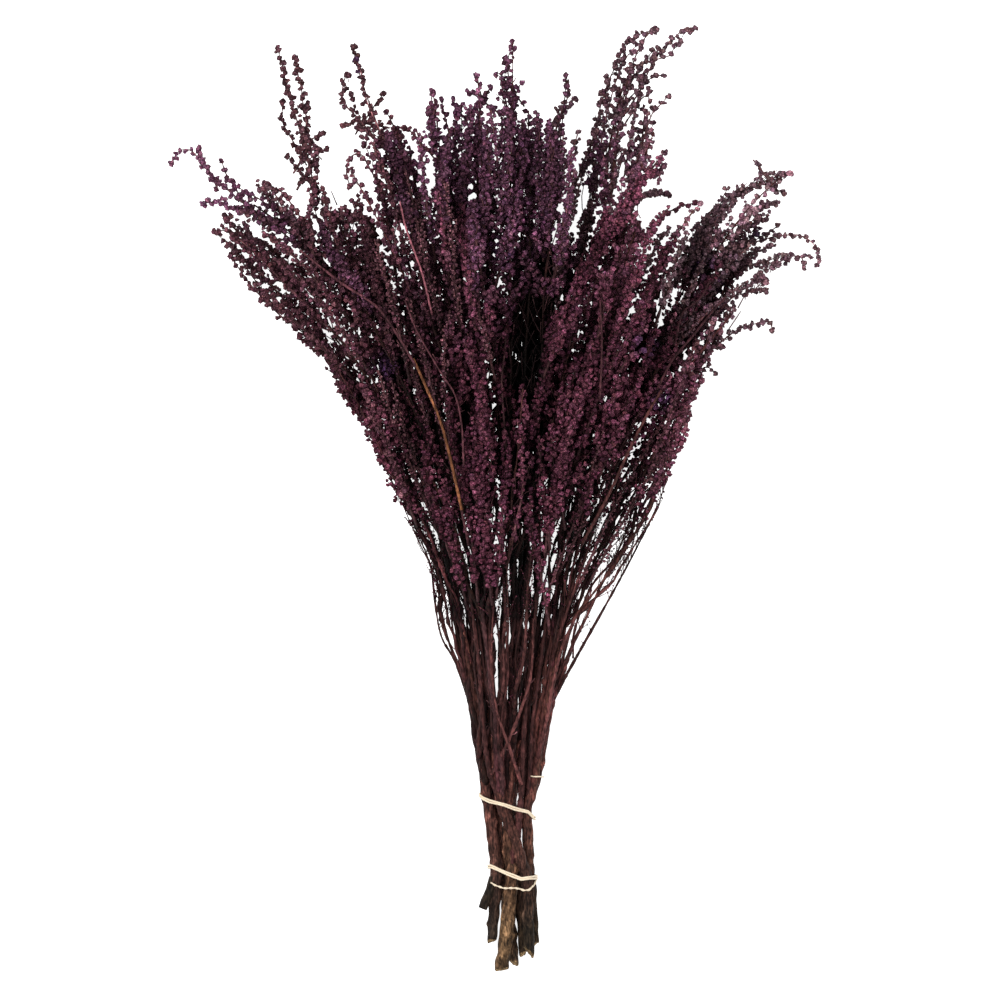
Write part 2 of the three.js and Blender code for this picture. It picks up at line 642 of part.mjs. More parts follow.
function buildBunch() {
  const random = randomFrom(20871);
  const names = Object.keys(STEMS);
  const stems = names.map((name) => ({ trunk: STEMS[name].trunk }));
  stems.forEach((stem, s) => {
    stem.branches = STEMS[names[s]].branches.map((plan) => drawBranch(stem, plan, random));
  });
  stems[0].stub = SIDE_STUB;
  settle(stems);
  stems.forEach((stem) => { stem.axes = stem.branches.map((branch) => plumeAxis(branch, random)); });
  stems.forEach((stem) => { stem.bark = trunkGeometry(stem.trunk, random); });
  const balls = axisBalls(stems);
  const parts = stems.map((stem, s) => toMesh(names[s], stemSolid(stem, balls, random), BARK));
  const trunks = stems.map((stem) => stem.bark);
  parts.push(toMesh('upper_band', band(trunks, UPPER_BAND), RUBBER));
  parts.push(toMesh('lower_band', band(trunks, LOWER_BAND).add(band(trunks, LOWER_LOOP)), RUBBER));
  parts.push(toMesh('side_band', band([trunks[3]], SIDE_BAND), RUBBER));
  return parts;
}

// The origin is at the middle of the bunch's footprint, on the surface
const parts = buildBunch();
const bunch = new THREE.Group();
bunch.add(...parts);
const box = new THREE.Box3().setFromObject(bunch);
const middle = box.getCenter(new THREE.Vector3());
bunch.position.set(-middle.x, -middle.y, -box.min.z);
bunch.updateMatrixWorld(true);

export default bunch;
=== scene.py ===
"""A dried stoebe bunch, dyed plum, lying on a pale floor.

Lengths are in millimetres in the bunch's own frame until a mesh is made, and in metres after that.
X runs across the bunch, Y from the cut ends to the plume tips, Z up.
"""
import math
from collections import namedtuple
import bpy
import numpy as np
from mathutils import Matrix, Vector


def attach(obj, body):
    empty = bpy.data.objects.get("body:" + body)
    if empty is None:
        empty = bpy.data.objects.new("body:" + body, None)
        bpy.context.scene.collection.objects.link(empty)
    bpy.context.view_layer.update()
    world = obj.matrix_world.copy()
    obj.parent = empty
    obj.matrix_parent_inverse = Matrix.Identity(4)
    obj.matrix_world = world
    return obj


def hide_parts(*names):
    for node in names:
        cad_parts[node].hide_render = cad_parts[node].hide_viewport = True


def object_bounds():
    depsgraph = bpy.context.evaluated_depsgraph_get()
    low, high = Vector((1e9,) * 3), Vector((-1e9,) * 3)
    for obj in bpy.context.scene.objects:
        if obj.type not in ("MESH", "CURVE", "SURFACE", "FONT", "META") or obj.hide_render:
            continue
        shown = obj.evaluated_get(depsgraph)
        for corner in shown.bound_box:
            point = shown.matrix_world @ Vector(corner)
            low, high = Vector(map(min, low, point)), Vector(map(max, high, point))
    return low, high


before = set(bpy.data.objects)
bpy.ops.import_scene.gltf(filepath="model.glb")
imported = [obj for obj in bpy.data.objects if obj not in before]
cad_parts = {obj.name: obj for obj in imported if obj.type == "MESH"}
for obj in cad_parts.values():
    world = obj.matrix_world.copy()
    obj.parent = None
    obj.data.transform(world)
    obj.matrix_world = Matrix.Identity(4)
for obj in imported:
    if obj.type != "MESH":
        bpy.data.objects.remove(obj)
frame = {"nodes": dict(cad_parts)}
cad_low, cad_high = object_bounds()

MM = 0.001
# Two plume tips fix where the bunch's own frame lies: the leftmost and the topmost
LEFTMOST_TIP_X = -196.0
TOPMOST_TIP_Y = 566.0
SHIFT = np.array([cad_low.x / MM - LEFTMOST_TIP_X, cad_high.y / MM - TOPMOST_TIP_Y, 0.0])

# The branch curves, drawn as in the CAD part
BRANCH_SEED = 20871
SAMPLES = 28
FORK_SAMPLES = 5
SETTLE_ROUNDS = 70
ELBOW_SHARE = 0.36
SWAY = 2.2
LOWEST_AXIS = 1.8
STEM_GAP = 0.5
BRANCH_ROOT_R = 1.5
PLUME_REACH = 5.6
BARE_SHARE = 0.33
BARE_SPREAD = 0.14
BARE_OVERLAP = 0.06
TRUNK_BALL_STEP = 5
TRUNK_TOP = 204
BARE_MARGIN = 2.5
LEAFY_MARGIN = 7
FORK_LEAD = 8
SWAY_TURNS = (9, 7)
# The first samples of a branch give way less, and pairs of balls are looked up anew after some rounds
EASE_SAMPLES = 3
RECHECK_ROUNDS = 10
NEARBY = 20

# How wide the lower fan is, plumes included: (y, left, right)
FAN_EDGES = (
    (130, -17, 27), (169, -22, 35), (205, -37, 56), (241, -45, 73),
    (277, -62, 96), (331, -88, 112), (367, -110, 129), (403, -143, 160),
)

# One branch of a stem: where it ends, a knee that it bends towards, the height at which it forks from the
# trunk, how far its side twigs spread, an elbow unless it starts straight on, and the share that is bare
Plan = namedtuple("Plan", "tip knee fork spread elbow bare", defaults=(None, BARE_SHARE))

# Each trunk is a list of (x, y, z, radius)
STEMS = {
    "left_stem": {
        "trunk": [
            (-5.6, 18, 9.5, 3), (-4.6, 36, 11.3, 3.5), (-2.8, 58, 12.9, 3.7), (-5.2, 80, 12.9, 3.6),
            (-8.2, 103, 12.9, 3.5), (-12, 132, 16, 3), (-16, 166, 21, 2.3), (-22, 204, 28, 1.5),
        ],
        "branches": [
            Plan((-134, 555, 92), (-116, 476, 84), 202, 14),
            Plan((-196, 487, 72), (-76, 436, 108), 150, 20, (-12, 296, 66), 0.62),
            Plan((-177, 461, 50), (-132, 452, 66), 165, 17),
            Plan((-123, 547, 66), (-108, 474, 58), 140, 13),
            Plan((-141, 472, 104), (-98, 428, 100), 185, 22),
            Plan((-163, 436, 34), (-112, 372, 38), 130, 16, (-34, 238, 26)),
            Plan((-104, 374, 54), (-76, 330, 50), 155, 18, (-32, 232, 34)),
            Plan((-77, 322, 72), (-58, 285, 64), 192, 17),
            Plan((-106, 490, 84), (-80, 410, 88), 120, 24),
        ],
    },
    "front_stem": {
        "trunk": [
            (16.5, 11.5, 15.5, 3.1), (16.4, 36, 18.6, 3.3), (14.4, 60, 20.7, 3.3), (7, 82, 20.8, 3.2),
            (0, 101, 20.5, 3.2), (-3.5, 130, 25, 2.8), (-5, 166, 33, 2.2), (-6, 206, 43, 1.5),
        ],
        "branches": [
            Plan((-89, 555, 100), (-72, 486, 106), 204, 18),
            Plan((-93, 538, 80), (-82, 484, 84), 130, 14),
            Plan((-93, 484, 120), (-58, 440, 128), 160, 20),
            Plan((-36, 475, 134), (-26, 385, 124), 150, 24),
            Plan((-56, 458, 124), (-40, 370, 114), 175, 24),
            Plan((-18, 446, 142), (-14, 360, 126), 185, 24),
            Plan((-9, 343, 116), (-10, 275, 90), 120, 20),
            Plan((13, 350, 112), (6, 280, 86), 140, 18),
            Plan((-33, 346, 110), (-24, 280, 82), 165, 18),
            Plan((-47, 318, 90), (-34, 262, 72), 190, 16),
            Plan((-41, 528, 98), (-32, 440, 100), 110, 20),
        ],
    },
    "main_stem": {
        "trunk": [
            (0.4, 0.6, 8.6, 4.3), (3.2, 24, 10.5, 4.4), (5, 43, 12.5, 4.2), (6.1, 58, 13.3, 4.1),
            (4.9, 82, 13.1, 4), (4.1, 103, 13.1, 3.9), (5.6, 132, 18, 3.2), (8, 166, 26, 2.4),
            (10, 206, 35, 1.5),
        ],
        "branches": [
            Plan((7, 558, 94), (4, 450, 98), 204, 18),
            Plan((-14, 538, 108), (-10, 440, 112), 130, 20),
            Plan((0, 516, 126), (1, 420, 122), 160, 24),
            Plan((20, 511, 114), (15, 420, 106), 145, 24),
            Plan((34, 498, 120), (28, 410, 112), 175, 24),
            Plan((39, 538, 86), (32, 450, 82), 120, 16),
            Plan((60, 421, 136), (32, 350, 116), 165, 24),
            Plan((44, 366, 118), (28, 300, 92), 185, 22),
            Plan((27, 288, 90), (18, 245, 68), 195, 16),
        ],
    },
    "right_stem": {
        "trunk": [
            (19.8, 15.5, 9.6, 2.9), (19, 36, 11.2, 3), (17, 58, 12.6, 3.2), (16, 79, 12.6, 3.4),
            (15.6, 97, 12.8, 3.1), (21.6, 118, 14, 3), (26, 140, 17, 2.7), (28, 170, 22, 2.1),
            (34, 206, 29, 1.5),
        ],
        "branches": [
            Plan((116, 566, 98), (82, 556, 94), 204, 20),
            Plan((90, 565, 82), (61, 542, 80), 130, 19),
            Plan((101, 524, 114), (82, 496, 110), 150, 18),
            Plan((99, 492, 128), (64, 420, 122), 170, 22),
            Plan((120, 461, 112), (92, 446, 110), 185, 20),
            Plan((174, 480, 80), (134, 464, 84), 140, 24),
            Plan((191, 426, 60), (158, 456, 72), 160, 18, (44, 268, 42)),
            Plan((183, 422, 42), (150, 438, 50), 145, 18, (46, 262, 34)),
            Plan((164, 385, 52), (132, 398, 58), 165, 16, (50, 238, 40)),
            Plan((126, 358, 76), (94, 284, 58), 125, 15, (38, 190, 30)),
            Plan((114, 325, 44), (84, 278, 42), 200, 14),
            Plan((81, 436, 134), (56, 352, 116), 155, 24),
            Plan((74, 380, 110), (52, 310, 90), 180, 20),
        ],
    },
    "back_left_stem": {
        "trunk": [
            (7.4, 4.6, 2.4, 3), (6.6, 18, 2.6, 3.2), (3.6, 38, 4.4, 3.4), (1.4, 58, 5.9, 3.5),
            (-1.4, 82, 5.9, 3.4), (-4, 103, 5.9, 3.3), (-7, 132, 6.6, 2.8), (-9.5, 166, 8.6, 2.2),
            (-12, 206, 13, 1.5),
        ],
        "branches": [
            Plan((-66, 520, 50), (-48, 430, 46), 204, 22),
            Plan((-172, 444, 20), (-104, 388, 18), 130, 20),
            Plan((-114, 462, 40), (-80, 380, 34), 150, 24),
            Plan((-130, 424, 2.5), (-84, 356, 0.5), 165, 20),
            Plan((-24, 525, 62), (-20, 430, 54), 140, 22),
            Plan((-82, 420, 6), (-56, 340, 4), 185, 22),
            Plan((-40, 470, 24), (-30, 390, 20), 175, 24),
            Plan((-80, 336, 6), (-52, 278, 8), 195, 17),
        ],
    },
    "back_right_stem": {
        "trunk": [
            (12.8, 9.8, 3.6, 2.3), (11.8, 34, 4.8, 3), (9.2, 58, 5.9, 3.4), (7.4, 82, 5.9, 3.3),
            (6.2, 103, 5.9, 3.3), (10, 132, 6.6, 2.8), (14, 166, 8.8, 2.2), (18, 206, 13, 1.5),
        ],
        "branches": [
            Plan((62, 528, 52), (44, 430, 46), 204, 22),
            Plan((160, 463, 32), (106, 396, 28), 130, 20),
            Plan((158, 409, 5), (108, 352, 1), 150, 20),
            Plan((17, 532, 68), (14, 440, 58), 140, 22),
            Plan((90, 470, 22), (60, 380, 18), 165, 24),
            Plan((106, 398, 2.5), (72, 322, 1), 180, 22),
            Plan((28, 470, 26), (20, 390, 22), 175, 24),
            Plan((90, 330, 6), (64, 270, 8), 195, 18),
            Plan((124, 440, 58), (88, 365, 50), 145, 24),
        ],
    },
}

# Thick lower forks and thin stray stems: stem, points from root to end, radius at both, and whether tufted
FORKS = (
    ("main_stem", ((5.5, 60, 14), (9, 78, 17), (11, 96, 17.5), (12.5, 118, 20), (14, 150, 26), (19, 200, 38),
                   (24, 250, 52)), 2.7, 0.9, False),
    ("main_stem", ((5, 88, 15), (1, 104, 19), (-1, 128, 24), (2, 160, 32), (4, 210, 46)), 2.2, 0.9, False),
    ("right_stem", ((16, 100, 12), (17.5, 122, 17), (19, 150, 22), (24, 190, 30), (30, 235, 42)),
     1.9, 0.8, False),
    ("left_stem", ((-9, 108, 14), (-16, 140, 14), (-20, 170, 18), (-27, 205, 22), (-34, 245, 26)),
     2.1, 0.8, False),
    ("front_stem", ((2, 96, 20), (-7, 120, 24), (-11, 150, 30), (-14, 190, 38), (-20, 235, 50)),
     2.1, 0.8, False),
    ("left_stem", ((-16, 150, 18), (-27, 184, 22), (-36, 201, 28), (-40, 222, 32), (-43, 245, 38),
                   (-51, 264, 42)), 0.85, 0.4, True),
    ("left_stem", ((-17, 158, 19), (-29, 190, 24), (-35, 212, 30), (-38, 232, 34), (-41, 252, 38)),
     0.8, 0.4, True),
    ("right_stem", ((25, 150, 18), (37, 174, 26), (48, 194, 32), (66, 226, 40), (80, 252, 46),
                    (94, 280, 52)), 1.2, 0.5, True),
    ("right_stem", ((43, 188, 30), (44, 200, 31), (50, 212, 33), (52, 222, 34)), 0.7, 0.4, True),
    ("right_stem", ((22, 128, 20), (27, 150, 26), (31, 172, 32), (37, 196, 40), (50, 224, 48)),
     1.5, 0.8, False),
    ("back_right_stem", ((16, 104, 8), (19, 130, 8), (22, 160, 10), (26, 200, 14), (36, 240, 18)),
     1.9, 0.8, False),
    ("back_right_stem", ((14.5, 100, 10), (15, 125, 10), (16, 150, 11), (19, 185, 13), (26, 230, 17)),
     2.0, 0.9, False),
    ("main_stem", ((3, 140, 22), (2, 165, 27), (1, 190, 33), (2, 215, 40), (1, 245, 52)), 1.7, 0.8, False),
    ("back_left_stem", ((2, 130, 9), (0, 160, 10), (-1, 190, 12), (1, 220, 15), (3, 255, 18)),
     1.9, 0.9, False),
    ("back_left_stem", ((0, 108, 6), (3, 135, 7), (6, 165, 9), (10, 205, 12), (12, 250, 16)),
     2.0, 0.9, False),
    ("front_stem", ((-6, 118, 26), (4, 138, 30), (12, 158, 33), (18, 180, 38), (19, 212, 46)),
     1.2, 0.6, False),
    ("left_stem", ((-14, 128, 20), (-6, 150, 30), (0, 176, 38), (-2, 205, 46), (-8, 240, 56)),
     1.3, 0.6, False),
    ("main_stem", ((12, 112, 22), (5, 134, 32), (-3, 158, 38), (-6, 190, 46), (-4, 230, 60)),
     1.1, 0.6, False),
    ("right_stem", ((25, 160, 22), (44, 198, 32), (60, 232, 42), (74, 262, 50), (82, 290, 56)),
     1.0, 0.5, True),
    ("right_stem", ((25, 168, 24), (38, 212, 38), (51, 250, 50), (60, 284, 60)), 1.0, 0.5, True),
    ("right_stem", ((24, 176, 20), (33, 222, 30), (42, 262, 42), (50, 300, 52)), 0.9, 0.5, True),
    ("back_right_stem", ((13, 160, 8), (30, 205, 12), (46, 245, 16), (62, 285, 20)), 1.0, 0.5, True),
    ("back_left_stem", ((-9, 160, 8), (-24, 205, 12), (-36, 245, 16), (-50, 285, 20)), 1.0, 0.5, True),
)
# Tufts this near, across, to a branch that shows over the plumes don't cover it
CLEAR_WIDTH = 2.6

# The paths that were traced from the photo lie this far to the right
TRACE_SHIFT = 0.8

# Which twigs and tufts lie in front of, among or behind the plumes of the CAD part
FRONT, MIDDLE, BACK = 1, 0, -1

# Growth
SEED = 7
GOLDEN_ANGLE = 2.39996
TWIG_POINTS = 4
SPRAY_POINTS = 10
SPUR_POINTS = 3
TANGENT_REACH = 0.7
# How side twigs turn round the branch and lean, in radians, and how they bend, in shares of their length
TURN_SPREAD = 0.35
TWIG_TILT = 0.72
TWIG_TILT_SPREAD = 0.13
TWIG_RISE = 0.22
TWIG_DROOP = 0.12
TWIG_WOBBLE = 0.05
# The range in which the start of a turn or a wave is drawn
PHASES = (0, 6)

# Radii at root and tip
PLUME_TWIG = (0.42, 0.28)
SPRAY_SHOOT = (0.55, 0.3)
SPRAY_TWIG = (0.34, 0.24)
SPUR = (0.42, 0.3)
STRING = (0.3, 0.2)
WISP = (1.0, 0.3)
FRONT_STALK = (0.9, 0.4)
BACK_STALK = (0.9, 0.5)
STALKED_TWIG = (0.4, 0.26)
EDGE_TWIG = (0.36, 0.26)
# A branch's radius at shares of its length
BRANCH_TAPER = ((0, 0.35, 0.7, 1), (BRANCH_ROOT_R, 1.15, 0.7, 0.3))
# Rings stand close up to here along a branch, and then a set number goes to its tip
CLOSE_RINGS = 150
RING_STEP = 2.4
FAR_RINGS = 40

# Radii of tufts and the steps between them
TUFT_RADIUS = 1.9
TUFT_STEP = 3.2
CORE_STEP = 3.8
CORE_TURN = 2.2
FRONT_TUFT = 1.65
FRONT_STEP = 2.8
FINE_TUFT = 1.05
FINE_STEP = 2.3
BACK_TUFT = 2.3
DEEP_TUFT = 3.0
BACK_STEP = 3.8
SMALL_TUFT = 0.85
SMALL_STEP = 2.6
EDGE_TUFT = 1.55
TUFT_TURN = 2.6
TUFT_SIZES = (0.75, 1.18)
# Tufts grow smaller towards a twig's tip: factor at its foot, and how much less at its tip
TUFT_TAPER = (1.08, 0.22)
TUFT_JITTER = 0.02
LAST_OFFSET = 0.1
CORE_SIZES = (0.75, 1.1)
CORE_OFFSET = 0.9
TIP_SIZE = 0.8
TUFT_REACH = 1.3
TUFT_SHAPES = 24
# Lobes and the dips between them: reach in shares of the radius, and the painted light on the lobes and
# painted shade in the dips
LOBES = (1.1, 1.34)
DIPS = (0.66, 0.86)
LOBE_PAINTED_LIGHT = 1.25
DIP_PAINTED_SHADE = 0.72
PLAIN_SIZE = 1.15

# The outline of a plume: lengths of its side twigs at its foot, in its body and at its tip
FOOT_LENGTH = 0.4
FOOT_GROWTH = 4
BODY_LENGTH = 1.12
BODY_TAPER = 0.62
BLUNTER_BY = 0.32
TIP_SHARE = 0.34
TIP_LENGTH = 0.26
PLUME_SHADES = 0.25
PLUME_JITTER = (0.1, 0.9)
PLUME_LENGTHS = (0.6, 1.15)
# The spreads from which a plume is dense, and over which it becomes fully so
DENSE_FROM = 13
DENSE_OVER = 9
# Sprays among a plume's side twigs: their lengths in shares of its spread, and their own twigs
SPRAY_PLACES = (0, 0.85)
SPRAY_LENGTHS = (1.3, 2.1)
SPRAY_TILTS = (0.35, 0.6)
SPRAY_TWIG_LENGTH = 0.42
SPRAY_TWIG_TAPER = (1.1, 0.6)
SPRAY_TWIG_LENGTHS = (0.6, 1.2)
SPRAY_TWIG_TILT = 0.8
SPRAY_BARE = 0.2
# Spurs: the shortest, how much longer they can be, and how rare the long ones are
SPUR_LENGTHS = (1.2, 3.5, 2.5)
SPUR_PLACES = (0.05, 1.0)
SPUR_TILTS = (0.8, 0.3)
STRING_LENGTHS = (0.5, 1.3)
STRING_TILTS = (0.5, 0.15)
STRING_SHADE = 0.7

# How close side twigs stand
PLUME_STEP = 7.4
DENSER_BY = 2.6
SPRAY_PITCH = 42
SPRAY_STEP = 5.0
SPRAY_DENSER_BY = 1.2
SPUR_PITCH = 3.4
FRONT_CLOSENESS = 9.5
BACK_CLOSENESS = 19
EDGE_STEP = 3.1
# Leafy strings on branches, on wisps and on forks: the step between them and the longest
BRANCH_STRINGS = (7, 10)
WISP_STRINGS = (7, 8.5)
FORK_STRINGS = (5, 14)
SHORTEST_LEAFY = 12
BRANCH_LEAFY_Y = 205
WISP_LEAFY_Y = 212
LOWEST_PLUME = (238, 275)

# How the branches come together above the upper band
BUNDLE_FOOT = 104
BUNDLE_SPREAD = 12
BUNDLE_RING = 0.6
BUNDLE_JOIN = 52
BUNDLE_STEPS = 7
BUNDLE_WOBBLE = 1.0
FORKED_SHARE = 0.5
FORK_ZONE = (140, 205)
WISPS = 1
WISP_SAMPLES = 32
WISP_WAVES = (17, 13)
WISP_STARTS = (0, 20)
WISP_ENDS = (0.42, 0.7)
# How far a wisp drifts across and up, how that grows along it, and how far it sways
WISP_ASIDE = (9, 7)
WISP_CURL = 1.2
WISP_SWAY = 1.1
# How much branches differ in shade and in hue
BRANCH_SHADES = 0.3
BRANCH_HUES = 0.1

# How plumes are laid on the others: the tufts near a point give its height, if there are enough of them
REST_REACH = 7
ENOUGH_TUFTS = 8
USUAL_HEIGHT = 60
LAID_STEPS = 10
# The share of those tufts that lies lower, the path's height above them, and its stalk as reach and depth
FRONT_LAID = (0.96, 2.0, ((30, 22), (12, 7)))
EDGE_LAID = (0.6, 0.0, ((16, 6),))
SHOWN_LAID = (0.99, 5.0, ((6, 8),))
FRONT_START = 13
# Their side twigs: tilts, lengths in shares of the half width, and how far they may reach past the tip
FRONT_TILTS = (0.5, 0.12)
FRONT_LENGTH = 1.75
FRONT_LENGTHS = (0.5, 1.0)
FRONT_OVERHANG = 2.5
BACK_TILTS = (0.6, 0.15)
BACK_LENGTHS = (0.5, 1.3)
EDGE_TILTS = (0.85, 0.15)
EDGE_LENGTHS = (0.6, 1.5)
# Clusters sit at these shares of an edge spray's twigs, on twigs that are long enough for them
CLUSTER_PLACES = (1.0, 0.4)
CLUSTER_TWIG = 5.0
CLUSTER_SIZES = (0.8, 1.2)
CLUSTER_APART = 0.9

# Shade inside the bunch, and which tufts and twigs it hides
DEEP_SHADE = 0.05
DEEP_POWER = 1.08
WOOD_SHADE = 1.2
TUFT_SHADES = 0.2
TUFT_HUES = 0.05
TWIG_SHADES = 0.4
VERTEX_SHADES = 0.25
HIDDEN = 0.09
HIDDEN_SHARE = 0.3
PLAIN = 0.45
# Where the uppermost plumes grow thin, and where the lowest tufts grow small
THIN_FROM = (490, 540)
THIN_SHARE = 0.3
LOW_TUFTS = ((245, 350), (0.62, 1.0))

# Colours as they reflect light, red green blue
PLUM = (0.220, 0.064, 0.103)
PINK = (0.285, 0.086, 0.138)
VIOLET = (0.245, 0.095, 0.165)
TAN = (0.290, 0.118, 0.148)
BROWN = (0.240, 0.092, 0.122)
MAUVE = (0.245, 0.128, 0.155)
ASH = (0.320, 0.180, 0.215)
# Dark plum: the dye's own colour on the upper left sprays, and painted shade on the dark back plumes that
# fill the middle
DARK_DYE_AND_SHADE = (0.140, 0.060, 0.072)
DYE_BLUE = (0.115, 0.055, 0.160)
# Where each colour prevails: x, y, width of the patch, colour
TINT_PATCHES = (
    (0, 460, 60, VIOLET), (35, 500, 45, VIOLET), (60, 330, 60, PINK), (-35, 430, 28, BROWN),
    (-110, 400, 60, BROWN), (160, 440, 60, ASH), (100, 540, 40, MAUVE),
    (-150, 470, 40, MAUVE), (0, 320, 45, PLUM), (-60, 320, 60, PLUM), (85, 430, 35, PINK),
    (-120, 530, 35, DARK_DYE_AND_SHADE), (-90, 530, 25, DARK_DYE_AND_SHADE),
)
# How much plum goes into every place, and how much blue into the pooled spots
PLUM_WEIGHT = 0.12
SPOT_SHARE = 0.75
# Where dye has pooled in violet-blue spots: x, y, radius
DYE_SPOTS = (
    (-69, 364, 9), (-84, 544, 7), (0, 433, 8), (120, 424, 9), (87, 376, 8), (96, 343, 7), (133, 412, 8),
    (156, 440, 7), (129, 401, 6),
)
# Patches of painted light and painted shade on the dye: x, y, width of the patch, factor
PAINTED_LIGHT_PATCHES = (
    (60, 475, 28, 1.8), (-78, 505, 20, 1.3), (-10, 463, 34, 1.25), (96, 313, 30, 1.4), (56, 229, 26, 1.7),
    (-42, 241, 15, 1.8), (28, 160, 20, 1.4), (-16, 150, 16, 0.62), (-13, 245, 12, 0.75),
    (35, 235, 18, 1.7), (-108, 424, 18, 0.88), (-60, 404, 12, 0.8), (-85, 415, 14, 1.9),
    (15, 368, 15, 0.22), (14, 395, 12, 0.6), (18, 295, 12, 0.75), (108, 391, 24, 1.15),
    (144, 463, 24, 1.25), (36, 440, 16, 1.35), (11, 440, 12, 1.25), (-60, 495, 16, 1.35),
    (-115, 495, 24, 1.35), (-100, 368, 20, 1.25), (-61, 335, 16, 1.5), (-37, 320, 14, 0.78),
    (83, 343, 20, 1.75), (108, 365, 14, 1.45), (68, 440, 20, 1.4), (35, 409, 12, 1.25),
    (60, 271, 14, 1.3), (132, 391, 12, 1.25), (-37, 470, 16, 1.2), (11, 453, 16, 1.2), (4, 160, 8, 0.8),
    (36, 343, 13, 1.35), (-50, 439, 18, 1.3), (-109, 463, 12, 1.25), (119, 391, 14, 1.2),
    (-14, 116, 14, 0.75), (26, 112, 14, 1.2), (-16, 433, 9, 1.7), (59, 448, 12, 1.3), (-15, 108, 12, 0.8),
)
WOOD_MIDDLE = (0.048, 0.0165, 0.0130)
WOOD_TWIG = (0.072, 0.0240, 0.0225)
WOOD_TIP = (0.115, 0.045, 0.050)
WOOD_ORANGE = (0.230, 0.085, 0.038)
WOOD_PINK = (0.135, 0.044, 0.055)
CUT_WOOD = (0.42, 0.27, 0.13)
# Each stem's bark at its foot
FOOT_TINTS = {
    "main_stem": (0.060, 0.034, 0.017), "left_stem": (0.014, 0.009, 0.006),
    "front_stem": (0.012, 0.008, 0.005), "right_stem": (0.020, 0.012, 0.006),
    "back_left_stem": (0.030, 0.017, 0.010), "back_right_stem": (0.015, 0.009, 0.005),
}
RUBBER_CREAM = (0.60, 0.50, 0.37)

